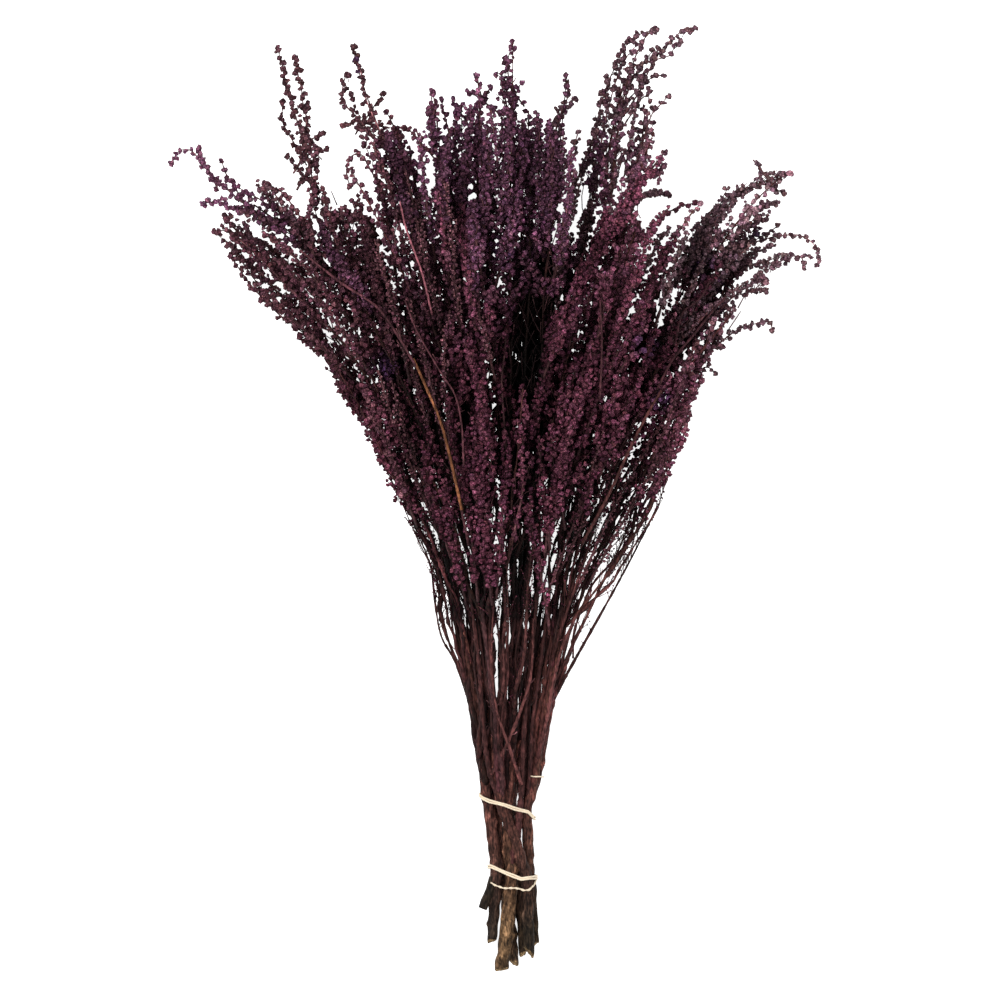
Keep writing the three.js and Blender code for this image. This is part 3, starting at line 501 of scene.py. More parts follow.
# Plumes that lie in front: stem, half width, colour, brightness, and (x, y) from foot to tip
FRONT_PLUMES = (
    ("front", 9.0, PINK, 1.15, ((-8, 250), (-11, 277), (-13, 301), (-12, 325), (-10, 341))),
    ("front", 5.4, PINK, 1.05, ((0, 254), (2, 283), (4, 307), (3, 324))),
    ("front", 5.4, PINK, 1.0, ((-16, 252), (-19, 283), (-20, 307), (-20, 326))),
    ("front", 4.8, PINK, 0.95, ((-26, 247), (-30, 265), (-32, 283), (-32, 296))),
    ("front", 4.2, PLUM, 0.85, ((-38, 277), (-43, 294), (-44, 308), (-42, 320))),
    ("front", 4.8, PLUM, 0.85, ((-25, 301), (-28, 316), (-30, 330), (-31, 342))),
    ("front", 7.2, PINK, 1.05, ((-11, 337), (-13, 352), (-17, 367), (-19, 380))),
    ("main", 2.4, PLUM, 0.85, ((2, 337), (1, 355), (3, 373), (4, 389))),
    ("main", 4.2, PINK, 1.2, ((13, 307), (14, 328), (14, 342), (13, 353))),
    ("right", 6.6, PINK, 1.1, ((20, 331), (25, 349), (28, 364), (30, 379), (37, 394), (48, 408))),
    ("right", 9.6, PINK, 1.15, ((32, 280), (36, 301), (40, 322), (47, 344), (53, 362), (58, 380))),
    ("right", 4.2, PINK, 1.0, ((34, 295), (31, 313), (31, 328))),
    ("right", 4.2, PINK, 1.05, ((53, 360), (59, 378), (62, 394))),
    ("right", 4.8, PINK, 1.0, ((54, 331), (61, 350), (68, 367), (77, 383), (85, 401))),
    ("right", 5.4, PINK, 1.0, ((70, 324), (77, 342), (84, 358), (89, 374), (94, 386))),
    ("right", 4.2, PINK, 1.0, ((55, 294), (60, 308), (62, 319))),
    ("main", 4.8, PINK, 1.0, ((25, 235), (22, 254), (18, 271), (18, 285))),
    ("main", 3.6, PLUM, 0.8, ((27, 283), (25, 302), (23, 320))),
    ("main", 3.0, PINK, 0.9, ((10, 271), (13, 285), (14, 296))),
    ("main", 5.4, VIOLET, 1.0, ((-35, 484), (-40, 498), (-41, 510), (-41, 520))),
    ("main", 5.4, VIOLET, 0.9, ((-26, 478), (-27, 493), (-27, 508))),
    ("main", 7.2, VIOLET, 0.95, ((-23, 454), (-22, 469), (-20, 487), (-18, 504), (-18, 518))),
    ("main", 6.0, VIOLET, 1.15, ((-9, 455), (-8, 470), (-7, 486), (-8, 498))),
    ("main", 6.0, VIOLET, 0.95, ((3, 466), (5, 484), (5, 504), (4, 518))),
    ("main", 7.2, VIOLET, 1.05, ((4, 439), (8, 456), (11, 473), (13, 492), (13, 509))),
    ("back_right", 6.0, VIOLET, 0.9, ((25, 460), (23, 480), (23, 498), (22, 514))),
    ("back_right", 6.0, VIOLET, 0.9, ((29, 456), (31, 475), (31, 493), (29, 510))),
    ("back_right", 4.2, VIOLET, 0.85, ((35, 475), (37, 490), (38, 503))),
    ("left", 3.0, TAN, 1.3, ((-44, 424), (-48, 442), (-52, 460), (-55, 474), (-57, 482))),
    ("left", 5.4, TAN, 1.15, ((-39, 402), (-44, 422), (-47, 440), (-49, 456), (-47, 467))),
    ("left", 3.6, PINK, 1.1, ((-33, 439), (-35, 456), (-38, 467))),
    ("front", 5.4, TAN, 1.15, ((-26, 408), (-28, 426), (-29, 444), (-32, 461), (-32, 473))),
    ("front", 4.8, PINK, 1.1, ((-17, 402), (-20, 420), (-22, 438), (-23, 452), (-22, 466))),
    ("main", 4.8, VIOLET, 0.9, ((-14, 436), (-16, 450), (-16, 463))),
    ("front", 4.8, TAN, 1.15, ((-10, 384), (-14, 400), (-17, 412), (-19, 426))),
    ("front", 4.2, PINK, 1.05, ((-9, 376), (-7, 390), (-8, 401))),
    ("right", 9.0, PINK, 1.15, ((37, 385), (44, 403), (52, 421), (62, 438), (73, 455), (84, 472),
      (91, 482), (96, 488))),
    ("right", 4.8, PINK, 1.15, ((55, 426), (64, 439), (73, 449), (82, 455))),
    ("right", 4.8, PINK, 1.1, ((58, 437), (62, 450), (67, 460))),
    ("back_right", 4.8, MAUVE, 0.85, ((50, 439), (52, 452), (55, 462))),
    ("right", 5.4, PINK, 1.1, ((72, 390), (78, 408), (84, 426), (90, 442), (96, 452), (101, 458))),
    ("right", 6.0, PINK, 1.0, ((84, 396), (89, 410), (94, 423), (99, 432), (104, 439))),
    ("right", 4.2, PINK, 1.05, ((61, 360), (67, 378), (73, 396), (76, 414))),
    ("right", 4.8, PINK, 1.05, ((55, 372), (61, 391), (64, 412))),
    ("back_right", 7.2, ASH, 1.0, ((114, 431), (122, 445), (133, 460), (148, 470), (163, 476),
      (174, 480))),
    ("left", 7.2, VIOLET, 0.95, ((-87, 412), (-96, 424), (-103, 436), (-107, 448))),
    ("main", 6.0, VIOLET, 0.8, ((-55, 454), (-59, 469), (-64, 487), (-67, 504))),
    ("left", 4.2, TAN, 1.05, ((-36, 271), (-48, 301), (-59, 330), (-65, 355))),
    ("left", 4.2, TAN, 1.1, ((-45, 283), (-57, 313), (-66, 337), (-73, 361))),
    ("left", 3.6, TAN, 1.1, ((-27, 301), (-36, 331), (-42, 355), (-46, 376))),
    ("front", 4.2, TAN, 1.15, ((-31, 325), (-33, 349), (-33, 373), (-30, 397))),
    ("left", 4.2, TAN, 1.05, ((-39, 343), (-45, 367), (-51, 388), (-55, 404))),
    ("left", 4.2, BROWN, 1.05, ((-60, 295), (-69, 319), (-77, 340), (-84, 358))),
    ("left", 4.8, BROWN, 1.1, ((-66, 380), (-70, 400), (-76, 420), (-82, 440))),
    ("left", 4.8, BROWN, 1.0, ((-92, 380), (-103, 396), (-118, 412), (-134, 428))),
    ("left", 4.2, BROWN, 1.0, ((-104, 372), (-118, 386), (-133, 400), (-147, 414))),
    ("left", 5.4, TAN, 0.95, ((-43, 328), (-52, 360), (-60, 390), (-66, 412))),
    ("right", 3.6, TAN, 1.0, ((45, 259), (60, 289), (75, 319), (84, 337))),
    ("right", 3.6, TAN, 1.05, ((54, 247), (69, 280), (84, 307), (96, 328))),
    ("right", 3.6, TAN, 1.0, ((36, 247), (47, 277), (55, 301), (62, 325))),
    ("right", 3.6, TAN, 1.0, ((66, 256), (81, 283), (93, 304), (103, 325))),
    ("right", 3.0, TAN, 0.95, ((27, 247), (33, 271), (40, 295), (45, 313))),
    ("right", 4.2, BROWN, 1.0, ((98, 322), (105, 343), (112, 362), (118, 380))),
    ("right", 4.2, BROWN, 1.0, ((96, 300), (104, 316), (110, 330), (114, 342))),
    ("right", 4.8, PLUM, 1.0, ((102, 378), (112, 396), (124, 412), (133, 425))),
    ("right", 4.2, MAUVE, 0.95, ((86, 420), (93, 434), (101, 446))),
    ("back_right", 6.0, ASH, 0.8, ((112, 425), (124, 443), (133, 455), (140, 464))),
    ("back_left", 4.2, BROWN, 0.95, ((-60, 446), (-65, 466), (-71, 484), (-77, 498))),
    ("left", 3.6, BROWN, 1.0, ((-77, 431), (-83, 448), (-89, 463))),
    ("left", 4.2, BROWN, 1.0, ((-108, 412), (-120, 426), (-132, 436), (-143, 444))),
    ("right", 4.8, ASH, 0.85, ((102, 415), (107, 430), (112, 444))),
    ("right", 3.6, ASH, 0.9, ((119, 390), (129, 400), (141, 409), (149, 415))),
    ("right", 4.8, PINK, 0.95, ((99, 300), (106, 314), (112, 326))),
    ("main", 4.2, VIOLET, 0.95, ((-2, 490), (-4, 506), (-6, 520))),
    ("main", 4.2, VIOLET, 0.95, ((-32, 455), (-33, 475), (-32, 492), (-30, 506))),
    ("main", 4.2, VIOLET, 0.85, ((-43, 455), (-46, 475), (-47, 492), (-50, 505))),
    ("back_right", 5.4, VIOLET, 0.85, ((37, 442), (40, 460), (42, 478), (43, 494))),
    ("right", 4.8, ASH, 0.9, ((114, 392), (130, 414), (146, 428), (166, 437))),
    ("right", 4.2, ASH, 0.95, ((110, 393), (124, 410), (138, 425), (150, 436))),
    ("left", 3.9, BROWN, 0.95, ((-116, 400), (-134, 418), (-150, 434), (-164, 445))),
    ("main", 4.2, VIOLET, 0.95, ((-23, 434), (-23, 450), (-23, 466))),
    ("main", 4.8, VIOLET, 0.95, ((-15, 414), (-16, 432), (-17, 448), (-18, 460))),
    ("main", 4.2, VIOLET, 0.95, ((-6, 480), (-7, 496), (-8, 510))),
    ("left", 4.2, BROWN, 0.95, ((-112, 430), (-114, 448), (-113, 464), (-110, 476))),
    ("right", 4.2, ASH, 0.95, ((114, 408), (121, 426), (127, 442))),
    ("back_right", 3.0, MAUVE, 0.75, ((37, 432), (41, 448), (45, 462), (49, 476))),
    ("left", 4.2, BROWN, 0.95, ((-90, 414), (-98, 436), (-103, 456), (-107, 472))),
    ("left", 4.2, BROWN, 0.9, ((-74, 412), (-78, 434), (-82, 452), (-85, 466))),
    ("front", 4.8, TAN, 0.9, ((-60, 382), (-64, 400), (-70, 420), (-74, 440))),
)

# Plumes low down at the back, which close the middle; the dark ones are painted shade, dark tufts put where
# the middle lies in shade: stem, half width, colour, brightness, height, path
BACK_PLUMES = (
    ("back_left", 13, DARK_DYE_AND_SHADE, 0.7, 22, ((-46, 300), (-56, 340), (-64, 380), (-70, 415))),
    ("back_left", 12, DARK_DYE_AND_SHADE, 0.7, 20, ((-18, 290), (-22, 330), (-27, 370), (-32, 410))),
    ("back_left", 12, DARK_DYE_AND_SHADE, 0.7, 18, ((0, 290), (1, 330), (0, 370), (-4, 410))),
    ("back_left", 12, VIOLET, 0.8, 30, ((-28, 400), (-31, 440), (-33, 475), (-34, 500))),
    ("back_left", 12, VIOLET, 0.8, 30, ((-8, 400), (-9, 440), (-11, 480), (-13, 510))),
    ("back_right", 12, VIOLET, 0.8, 28, ((10, 400), (12, 440), (13, 475), (14, 508))),
    ("back_right", 11, VIOLET, 0.8, 28, ((24, 400), (29, 440), (32, 475), (32, 500))),
    ("back_right", 12, DARK_DYE_AND_SHADE, 0.7, 20, ((20, 290), (24, 330), (27, 370), (30, 410))),
    ("back_right", 12, DARK_DYE_AND_SHADE, 0.7, 20, ((42, 300), (50, 335), (60, 370), (70, 400))),
    ("back_right", 12, DARK_DYE_AND_SHADE, 0.7, 20, ((66, 310), (80, 340), (94, 370), (106, 395))),
    ("back_left", 9, BROWN, 0.8, 26, ((-84, 330), (-98, 360), (-114, 385), (-130, 408))),
    ("back_left", 8, BROWN, 0.9, 30, ((-98, 398), (-116, 414), (-132, 428), (-146, 440))),
    ("back_right", 9, MAUVE, 0.9, 30, ((62, 470), (66, 500), (72, 528), (80, 545))),
    ("back_left", 7, BROWN, 0.9, 30, ((-62, 410), (-66, 435), (-70, 458), (-76, 478))),
    ("main", 9, DARK_DYE_AND_SHADE, 0.6, 30, ((8, 262), (8, 300), (8, 335), (8, 365))),
    ("back_right", 10, DARK_DYE_AND_SHADE, 0.6, 14, ((30, 270), (36, 300), (44, 335), (50, 360))),
    ("back_left", 10, DARK_DYE_AND_SHADE, 0.6, 14, ((-10, 270), (-12, 310), (-14, 345), (-15, 380))),
    ("back_left", 10, DARK_DYE_AND_SHADE, 0.6, 14, ((-34, 290), (-40, 330), (-46, 365), (-52, 400))),
    ("back_left", 9, DARK_DYE_AND_SHADE, 0.6, 12, ((12, 270), (15, 310), (16, 345), (15, 380))),
    ("back_right", 11, DARK_DYE_AND_SHADE, 0.5, 16, ((14, 330), (16, 360), (17, 390), (18, 425))),
    ("back_right", 9, DARK_DYE_AND_SHADE, 0.6, 34, ((58, 300), (70, 335), (82, 370), (88, 400))),
    ("back_right", 10, DARK_DYE_AND_SHADE, 0.7, 30, ((84, 330), (102, 365), (118, 395), (132, 420))),
    ("back_right", 8, BROWN, 0.9, 34, ((108, 372), (121, 390), (135, 410), (146, 428))),
    ("back_left", 10, DARK_DYE_AND_SHADE, 0.7, 34, ((-58, 330), (-66, 375), (-73, 415), (-79, 452))),
    ("back_left", 8, BROWN, 0.8, 34, ((-88, 400), (-97, 430), (-103, 455), (-107, 474))),
    ("back_left", 8, BROWN, 0.9, 34, ((-118, 404), (-138, 424), (-154, 440), (-166, 452))),
    ("back_left", 6, VIOLET, 0.9, 34, ((-44, 440), (-50, 465), (-54, 485), (-55, 496))),
    ("back_left", 6, VIOLET, 0.9, 40, ((-14, 455), (-14, 480), (-13, 500), (-13, 514))),
    ("back_left", 6, DARK_DYE_AND_SHADE, 0.5, 22, ((6, 325), (7, 355), (8, 385), (8, 415))),
    ("back_right", 8, DARK_DYE_AND_SHADE, 0.5, 30, ((30, 315), (35, 345), (41, 380), (47, 412))),
    ("back_right", 7, DARK_DYE_AND_SHADE, 0.5, 24, ((44, 270), (56, 300), (64, 325), (70, 345))),
    ("back_right", 8, DARK_DYE_AND_SHADE, 0.6, 40, ((76, 366), (84, 384), (90, 400), (96, 416))),
    ("back_right", 8, DARK_DYE_AND_SHADE, 0.5, 34, ((40, 345), (47, 365), (54, 385), (60, 404))),
    ("back_right", 6, DARK_DYE_AND_SHADE, 0.6, 34, ((34, 380), (37, 398), (40, 414), (42, 430))),
    ("back_left", 7, BROWN, 0.8, 30, ((-88, 365), (-98, 378), (-108, 390), (-118, 402))),
    ("back_left", 6, DARK_DYE_AND_SHADE, 0.6, 34, ((-44, 340), (-50, 365), (-56, 390), (-62, 412))),
    ("back_left", 6, VIOLET, 0.8, 40, ((-23, 436), (-22, 452), (-21, 466), (-20, 480))),
)
# Where the floor shows between the plumes: x, y, half width, half height
OPENINGS = (
    (-178, 482, 34, 16), (18, 529, 9, 12), (-60, 516, 12, 8), (-60, 444, 5, 5), (144, 482, 12, 6),
    (85, 456, 6, 6), (158, 402, 18, 11), (98, 528, 8, 30), (42, 244, 2.6, 14), (49, 220, 3.2, 12),
    (59, 228, 4, 12), (-47, 253, 2.2, 12), (-37, 220, 2.2, 18), (-32, 200, 2, 10), (-28, 532, 8, 10),
    (70, 214, 4, 10), (-100, 478, 10, 22), (-80, 480, 4, 10), (155, 392, 16, 10), (170, 418, 12, 5),
    (184, 484, 9, 9), (-57, 530, 12, 14), (-178, 470, 30, 12), (96, 466, 11, 8), (41, 454, 4, 10),
    (32, 444, 3, 8), (50, 464, 4, 8), (-53, 506, 4, 9), (-113, 506, 3, 8), (-104, 386, 4, 4),
    (105, 471, 6, 6), (153, 486, 7, 4), (139, 382, 7, 9), (130, 368, 5, 7), (-155, 404, 12, 5),
    (180, 423, 9, 7),
)
# Where the plumes are looser than elsewhere, in the same form
LOOSE_PATCHES = (
    (70, 492, 24, 40), (-104, 370, 13, 24), (160, 478, 16, 14), (34, 222, 14, 34), (52, 236, 12, 22),
    (-28, 205, 8, 30), (-120, 402, 14, 22), (96, 528, 12, 28),
)
# The shares of tufts and spurs that go there, and how slim the branches are below a height
LOOSE_SHARE = 0.3
LOOSE_SPURS = 0.7
SLIM_STEMS = 0.62
SLIM_BELOW = 300
# Above this height a branch ends where it enters an opening
TIPS_FROM = 360

# Thin sprays round the edge, in the form of the plumes in front
EDGE_SPRAYS = (
    ("right", 2.4, MAUVE, 1.0, ((60, 492), (63, 510), (67, 526), (72, 541), (78, 552), (85, 558))),
    ("right", 2.4, MAUVE, 1.0, ((70, 492), (72, 512), (77, 529), (84, 543), (92, 553))),
    ("back_right", 2.1, MAUVE, 1.0, ((44, 468), (50, 486), (55, 498), (60, 512))),
    ("back_right", 2.1, MAUVE, 1.0, ((38, 480), (43, 492), (47, 504))),
    ("back_right", 2.4, MAUVE, 0.9, ((50, 432), (53, 454), (57, 472), (60, 487))),
    ("back_right", 2.1, MAUVE, 0.9, ((36, 414), (39, 438), (42, 462), (45, 478))),
    ("right", 2.1, MAUVE, 1.0, ((63, 444), (66, 462), (71, 480), (75, 492))),
    ("left", 1.8, VIOLET, 1.0, ((-130, 452), (-142, 462), (-152, 468), (-160, 472))),
    ("right", 2.4, MAUVE, 1.0, ((77, 493), (80, 512), (84, 528), (90, 542), (96, 552), (103, 559),
      (110, 565), (118, 566))),
    ("right", 3.0, MAUVE, 1.0, ((54, 493), (58, 509), (61, 522), (65, 534), (70, 545), (75, 555),
      (82, 562), (94, 566))),
    ("right", 1.5, MAUVE, 1.0, ((89, 546), (96, 548), (103, 550))),
    ("right", 1.5, MAUVE, 1.0, ((83, 527), (87, 533), (92, 537), (98, 538))),
    ("right", 2.1, MAUVE, 1.0, ((82, 487), (86, 499), (89, 509), (92, 516), (97, 521), (101, 526))),
    ("right", 1.5, MAUVE, 1.0, ((81, 518), (85, 524), (89, 526))),
    ("back_right", 2.1, MAUVE, 1.0, ((135, 433), (143, 445), (150, 454), (159, 460), (167, 462))),
    ("back_right", 1.5, MAUVE, 1.0, ((141, 439), (146, 446), (153, 450), (160, 452))),
    ("back_right", 1.8, MAUVE, 1.0, ((162, 475), (166, 470), (170, 467))),
    ("back_right", 2.1, MAUVE, 1.0, ((132, 426), (143, 436), (152, 439), (160, 443), (167, 448))),
    ("back_right", 1.8, MAUVE, 1.0, ((133, 428), (145, 435), (156, 439), (168, 442), (181, 442),
      (190, 435), (191, 425))),
    ("back_right", 1.8, MAUVE, 1.0, ((136, 414), (145, 422), (155, 425), (168, 429), (180, 429),
      (183, 422))),
    ("back_right", 1.5, MAUVE, 1.0, ((132, 397), (140, 405), (147, 407), (153, 409), (160, 409))),
    ("right", 1.5, MAUVE, 1.0, ((130, 376), (139, 383), (146, 387), (153, 389), (161, 391), (164, 385))),
    ("right", 1.5, MAUVE, 1.0, ((121, 372), (128, 376), (134, 376))),
    ("right", 1.5, MAUVE, 1.0, ((116, 359), (124, 363), (130, 359))),
    ("right", 1.5, PINK, 1.0, ((93, 448), (100, 455), (107, 459), (114, 461), (120, 461))),
    ("right", 1.5, MAUVE, 1.0, ((79, 462), (87, 466), (94, 468), (101, 467))),
    ("main", 1.8, VIOLET, 1.0, ((8, 517), (7, 528), (5, 538), (5, 548), (8, 558))),
    ("main", 1.5, VIOLET, 1.0, ((8, 521), (10, 528), (13, 534))),
    ("main", 1.5, VIOLET, 1.0, ((5, 532), (2, 536), (-2, 538))),
    ("main", 1.8, VIOLET, 1.0, ((-12, 515), (-11, 524), (-13, 532), (-14, 538))),
    ("main", 1.5, VIOLET, 1.0, ((-11, 523), (-8, 527), (-6, 531))),
    ("main", 1.5, VIOLET, 1.0, ((-12, 524), (-16, 527), (-19, 529))),
    ("main", 1.8, VIOLET, 1.0, ((-41, 511), (-41, 521), (-41, 529))),
    ("main", 1.2, VIOLET, 1.0, ((-32, 509), (-34, 517), (-35, 524))),
    ("main", 1.2, VIOLET, 1.0, ((-26, 511), (-27, 518), (-28, 524))),
    ("back_right", 1.8, MAUVE, 1.0, ((33, 503), (36, 514), (40, 523), (41, 530), (39, 538))),
    ("back_right", 1.5, MAUVE, 1.0, ((37, 515), (41, 520), (45, 524))),
    ("back_right", 1.5, MAUVE, 1.0, ((34, 508), (35, 514), (33, 518))),
    ("left", 2.1, VIOLET, 1.0, ((-143, 454), (-156, 463), (-166, 472), (-174, 479), (-180, 487),
      (-186, 493), (-193, 492), (-197, 485))),
    ("left", 1.2, VIOLET, 1.0, ((-176, 483), (-179, 489), (-181, 495))),
    ("left", 1.5, VIOLET, 1.0, ((-160, 472), (-165, 480), (-167, 487))),
    ("left", 3.6, VIOLET, 1.1, ((-126, 440), (-139, 450), (-151, 456), (-162, 459), (-170, 462),
      (-178, 461))),
    ("left", 1.5, BROWN, 1.0, ((-135, 426), (-148, 436), (-157, 442), (-166, 445), (-172, 444))),
    ("left", 1.5, BROWN, 1.0, ((-162, 443), (-166, 447), (-164, 451))),
    ("back_left", 1.8, BROWN, 1.0, ((-137, 412), (-146, 422), (-154, 428), (-160, 433), (-163, 437))),
    ("back_left", 1.8, BROWN, 1.0, ((-139, 401), (-147, 409), (-154, 418), (-158, 424), (-162, 430))),
    ("left", 1.8, BROWN, 1.0, ((-118, 450), (-124, 459), (-130, 467), (-136, 470), (-142, 473))),
    ("left", 1.8, DARK_DYE_AND_SHADE, 1.0, ((-113, 478), (-117, 493), (-121, 508), (-124, 518), (-127, 528),
      (-129, 536), (-131, 546), (-134, 555))),
    ("left", 1.5, DARK_DYE_AND_SHADE, 1.0, ((-124, 498), (-128, 505), (-131, 512), (-130, 522))),
    ("left", 1.8, DARK_DYE_AND_SHADE, 1.0, ((-118, 499), (-116, 511), (-118, 520), (-119, 529), (-121, 538),
      (-123, 548))),
    ("left", 1.5, DARK_DYE_AND_SHADE, 1.0, ((-116, 493), (-112, 500), (-107, 503))),
    ("left", 1.5, DARK_DYE_AND_SHADE, 1.0, ((-114, 483), (-110, 490), (-104, 494))),
    ("left", 1.5, DARK_DYE_AND_SHADE, 1.0, ((-119, 479), (-124, 485), (-128, 490))),
    ("back_left", 1.8, DARK_DYE_AND_SHADE, 1.0, ((-64, 484), (-69, 498), (-75, 511), (-79, 520), (-82, 529),
      (-83, 538), (-86, 547), (-88, 555))),
    ("back_left", 1.5, DARK_DYE_AND_SHADE, 1.0, ((-78, 516), (-74, 522), (-70, 527))),
    ("back_left", 1.8, DARK_DYE_AND_SHADE, 1.0, ((-79, 505), (-85, 512), (-91, 518), (-95, 523), (-94, 532), (-92, 539))),
    ("back_left", 1.5, DARK_DYE_AND_SHADE, 1.0, ((-82, 509), (-88, 510), (-94, 507))),
    ("back_left", 1.5, BROWN, 1.0, ((-77, 480), (-83, 490), (-89, 489), (-92, 480), (-90, 471))),
    ("back_left", 1.8, BROWN, 1.0, ((-61, 500), (-65, 510), (-68, 516))),
    ("back_left", 1.8, BROWN, 1.0, ((-46, 496), (-52, 503), (-58, 507))),
)

# Bare branches that show over the plumes: stem, colour, radius, and (x, y) from root to end
SHOWN_BRANCHES = (
    ("left", WOOD_ORANGE, 0.95, ((-24, 282), (-28, 300), (-35, 328), (-44, 350), (-52, 368))),
    ("left", WOOD_PINK, 0.9, ((-20, 262), (-24, 282))),
    ("left", WOOD_PINK, 0.85, ((-52, 366), (-62, 383), (-74, 399), (-96, 414), (-120, 433))),
    ("front", WOOD_PINK, 0.6, ((-22, 310), (-23, 328), (-27, 346), (-37, 362), (-50, 385), (-57, 403))),
    ("right", WOOD_PINK, 0.8, ((96, 353), (104, 368), (116, 382), (128, 397), (135, 404))),
    ("right", WOOD_PINK, 0.7, ((106, 382), (110, 396), (120, 404), (126, 415))),
    ("right", WOOD_PINK, 0.7, ((60, 350), (61, 375), (60, 402))),
    ("right", WOOD_TWIG, 1.0, ((52, 262), (66, 288), (76, 310), (88, 334), (97, 349))),
    ("left", WOOD_PINK, 0.7, ((-42, 400), (-47, 420), (-56, 445), (-60, 462))),
)
# Deep gaps between the plumes, where the tufts left low down are painted dark as shade: x, y, half width,
# half height
GAPS = (
    (16, 372, 12, 34), (3, 338, 4, 8), (-6, 364, 3, 13), (12, 303, 5, 16), (10, 262, 5, 12),
    (-35, 334, 8, 5), (-31, 312, 4, 12), (-22, 336, 3, 8), (30, 398, 10, 8), (30, 425, 8, 10),
)
GAP_DEPTH = 18
# The painted shade on the tufts left in a gap
GAP_PAINTED_SHADE = 0.12

# How far a tuft reaches in its cell of the map, and how far twigs keep from the edges of theirs
MAP_REACH = 0.35
MAP_MARGIN = 0.1

# Bark and cut ends
BARK_SIDES = 24
BARK_STEP = 0.9
BARK_RIDGE = 0.022
TRUNK_TOP_SHARE = 0.55
BARK_TAPER_FROM = 105
# The bark takes the tint of the foot up to here, and blends into the dyed wood over the next stretch
FOOT_TINT_TOP = 25
FOOT_TINT_BLEND = 85
# Slow bends of a trunk: how far, and how long each is
TRUNK_BEND = 0.16
TRUNK_BENDS = (11, 19, 31)
# The rod lies this much inside the stem's radius, so that the ridges reach it
BARK_INSET = 0.97
STREAK_PACE = 0.6
STREAK_DEPTH = 3.5
# Painted light on the raised bark and painted shade in its hollows
RELIEF_PAINTED_SHADE = 4
GRAIN_SHADES = 0.2
BARK_PHASES = (0, 6.3)
RIDGES = 18
RIDGES_ROUND = (1, 9)
RIDGE_LENGTHS = (7, 60)
KNOTS = 16
KNOT_PLACES = (0, 200)
KNOT_SPAN = 3.5
KNOT_WIDTHS = (1.0, 2.6)
KNOT_HEIGHTS = (0.08, 0.3)
# How far each stem's cut end slants: its right edge and its upper edge, towards the plumes
CUT_SLANTS = {
    "main_stem": (0.5, 1.5), "left_stem": (1.2, 1.0), "front_stem": (-3.0, 1.5), "right_stem": (2.5, 1.0),
    "back_left_stem": (-1.5, 1.0), "back_right_stem": (1.0, 1.0),
}
# How much of the slant each of the first rings takes
SLANT_SHARES = (1.0, 0.55, 0.2)
CUT_RAGGED = 0.35
CUT_ROUNDING = (0.86, 1.0, 0.86)
# How much darker than fresh wood the cut is, and how much that varies
CUT_SHADES = (-0.9, 0.4)
# The short stub low on the left stem: stem, points from root to end, radius at both
STUB_RINGS = 16
STUB = ("left_stem", ((-4.4, 56, 13), (-6.6, 49, 13.6), (-9.2, 42.5, 13.6), (-11.2, 37.4, 13.2)), 3.1, 2.7)

# Rubber bands
# Each band loop: CAD node, middle, slope, strand width, strand offsets along Y, twists, and how far its
# upper side lies off the plane of the loop at places across it
BAND_LOOPS = (
    ("upper_band", (3.6, 99), -0.43, 1.15, (-0.58, 0.58), 0,
     ((-12, -1.6), (-7, -1.5), (-2, -0.5), (2, 0.1), (8, 0.5), (12, 1.3), (16, 2.0), (20, 0))),
    ("lower_band", (7.8, 59.5), -0.2, 1.2, (-0.6, 0.6), 0,
     ((-6, 0.5), (3, -1.6), (12, -3.4), (17, -1.6), (20, -0.8))),
    ("lower_band", (7.8, 54.6), 0.07, 1.4, (0.0,), 11,
     ((-8, 0.4), (-4.4, -2.0), (1.6, -4.4), (7.6, -4.8), (10.6, -5.3), (13.6, -6.4), (16.6, -6.4),
      (19.6, -3.8), (22, 0))),
    ("side_band", (23, 116.8), -0.05, 0.85, (0.0,), 0, ((17, 0), (26, 0))),
)
# How much wider and higher the side band's loop is than its solid, so that it goes round the ridges
SIDE_BAND_ROOM = (1.1, 1.75)
TWISTED_FLATNESS = 0.6
STRAND_WAVE = 0.1
STRAND_WAVES = 5
RUBBER_SHADES = (0.94, 1.04)
# How near to a loop's plane a corner of its solid lies
BAND_HALF_DEPTH = 2.0
BAND_STEPS = 160
STRAND_SIDES = 12

# The photo's frame is 1000 pixels wide, at 0.6 mm a pixel, and its middle lies here in the bunch's own frame
VIEW_MIDDLE = (-0.8, 283.2)
VIEW_WIDTH = 0.6
VIEW_HEIGHT_LEVEL = 0.075
LENS = 1500.0
SENSOR = 36.0
FLOOR_SIZE = 6
FLOOR_DROP = 0.0003
FLOOR_GREY = 0.6
FLOOR_GLOW = 0.85
SURROUND = 0.5
# Soft boxes: name, place, size and power
LIGHTS = (("key", (-0.7, 0.5, 2.0), 1.0, 55), ("fill", (0.9, -0.5, 2.0), 1.2, 25))
LIGHTS_AIM = (0, 0, 0.05)

# The bunch stays on the floor and within a narrow border round the CAD part
BORDER = 0.012
ROOM_LOW = np.array([cad_low.x - BORDER, cad_low.y - BORDER, 0.0])
ROOM_HIGH = np.array(cad_high) + BORDER


def lcg(seed):
    """A repeatable random number from 0 to 1, the same as the CAD part draws."""
    state = seed

    def draw():
        nonlocal state
        state = (state * 1664525 + 1013904223) % 2**32
        return state / 2**32

    return draw


def unit(v):
    """Vectors of length one along the last axis."""
    return v / np.maximum(np.linalg.norm(v, axis=-1, keepdims=True), 1e-9)


def trunk_at(trunk, y):
    """The trunk's point and radius at height y."""
    rows = np.array(trunk, float)
    k = 0
    while k < len(rows) - 2 and rows[k + 1, 1] < y:
        k += 1
    share = (y - rows[k, 1]) / (rows[k + 1, 1] - rows[k, 1])
    row = rows[k] + share * (rows[k + 1] - rows[k])
    return np.array([row[0], y, row[2]]), row[3]


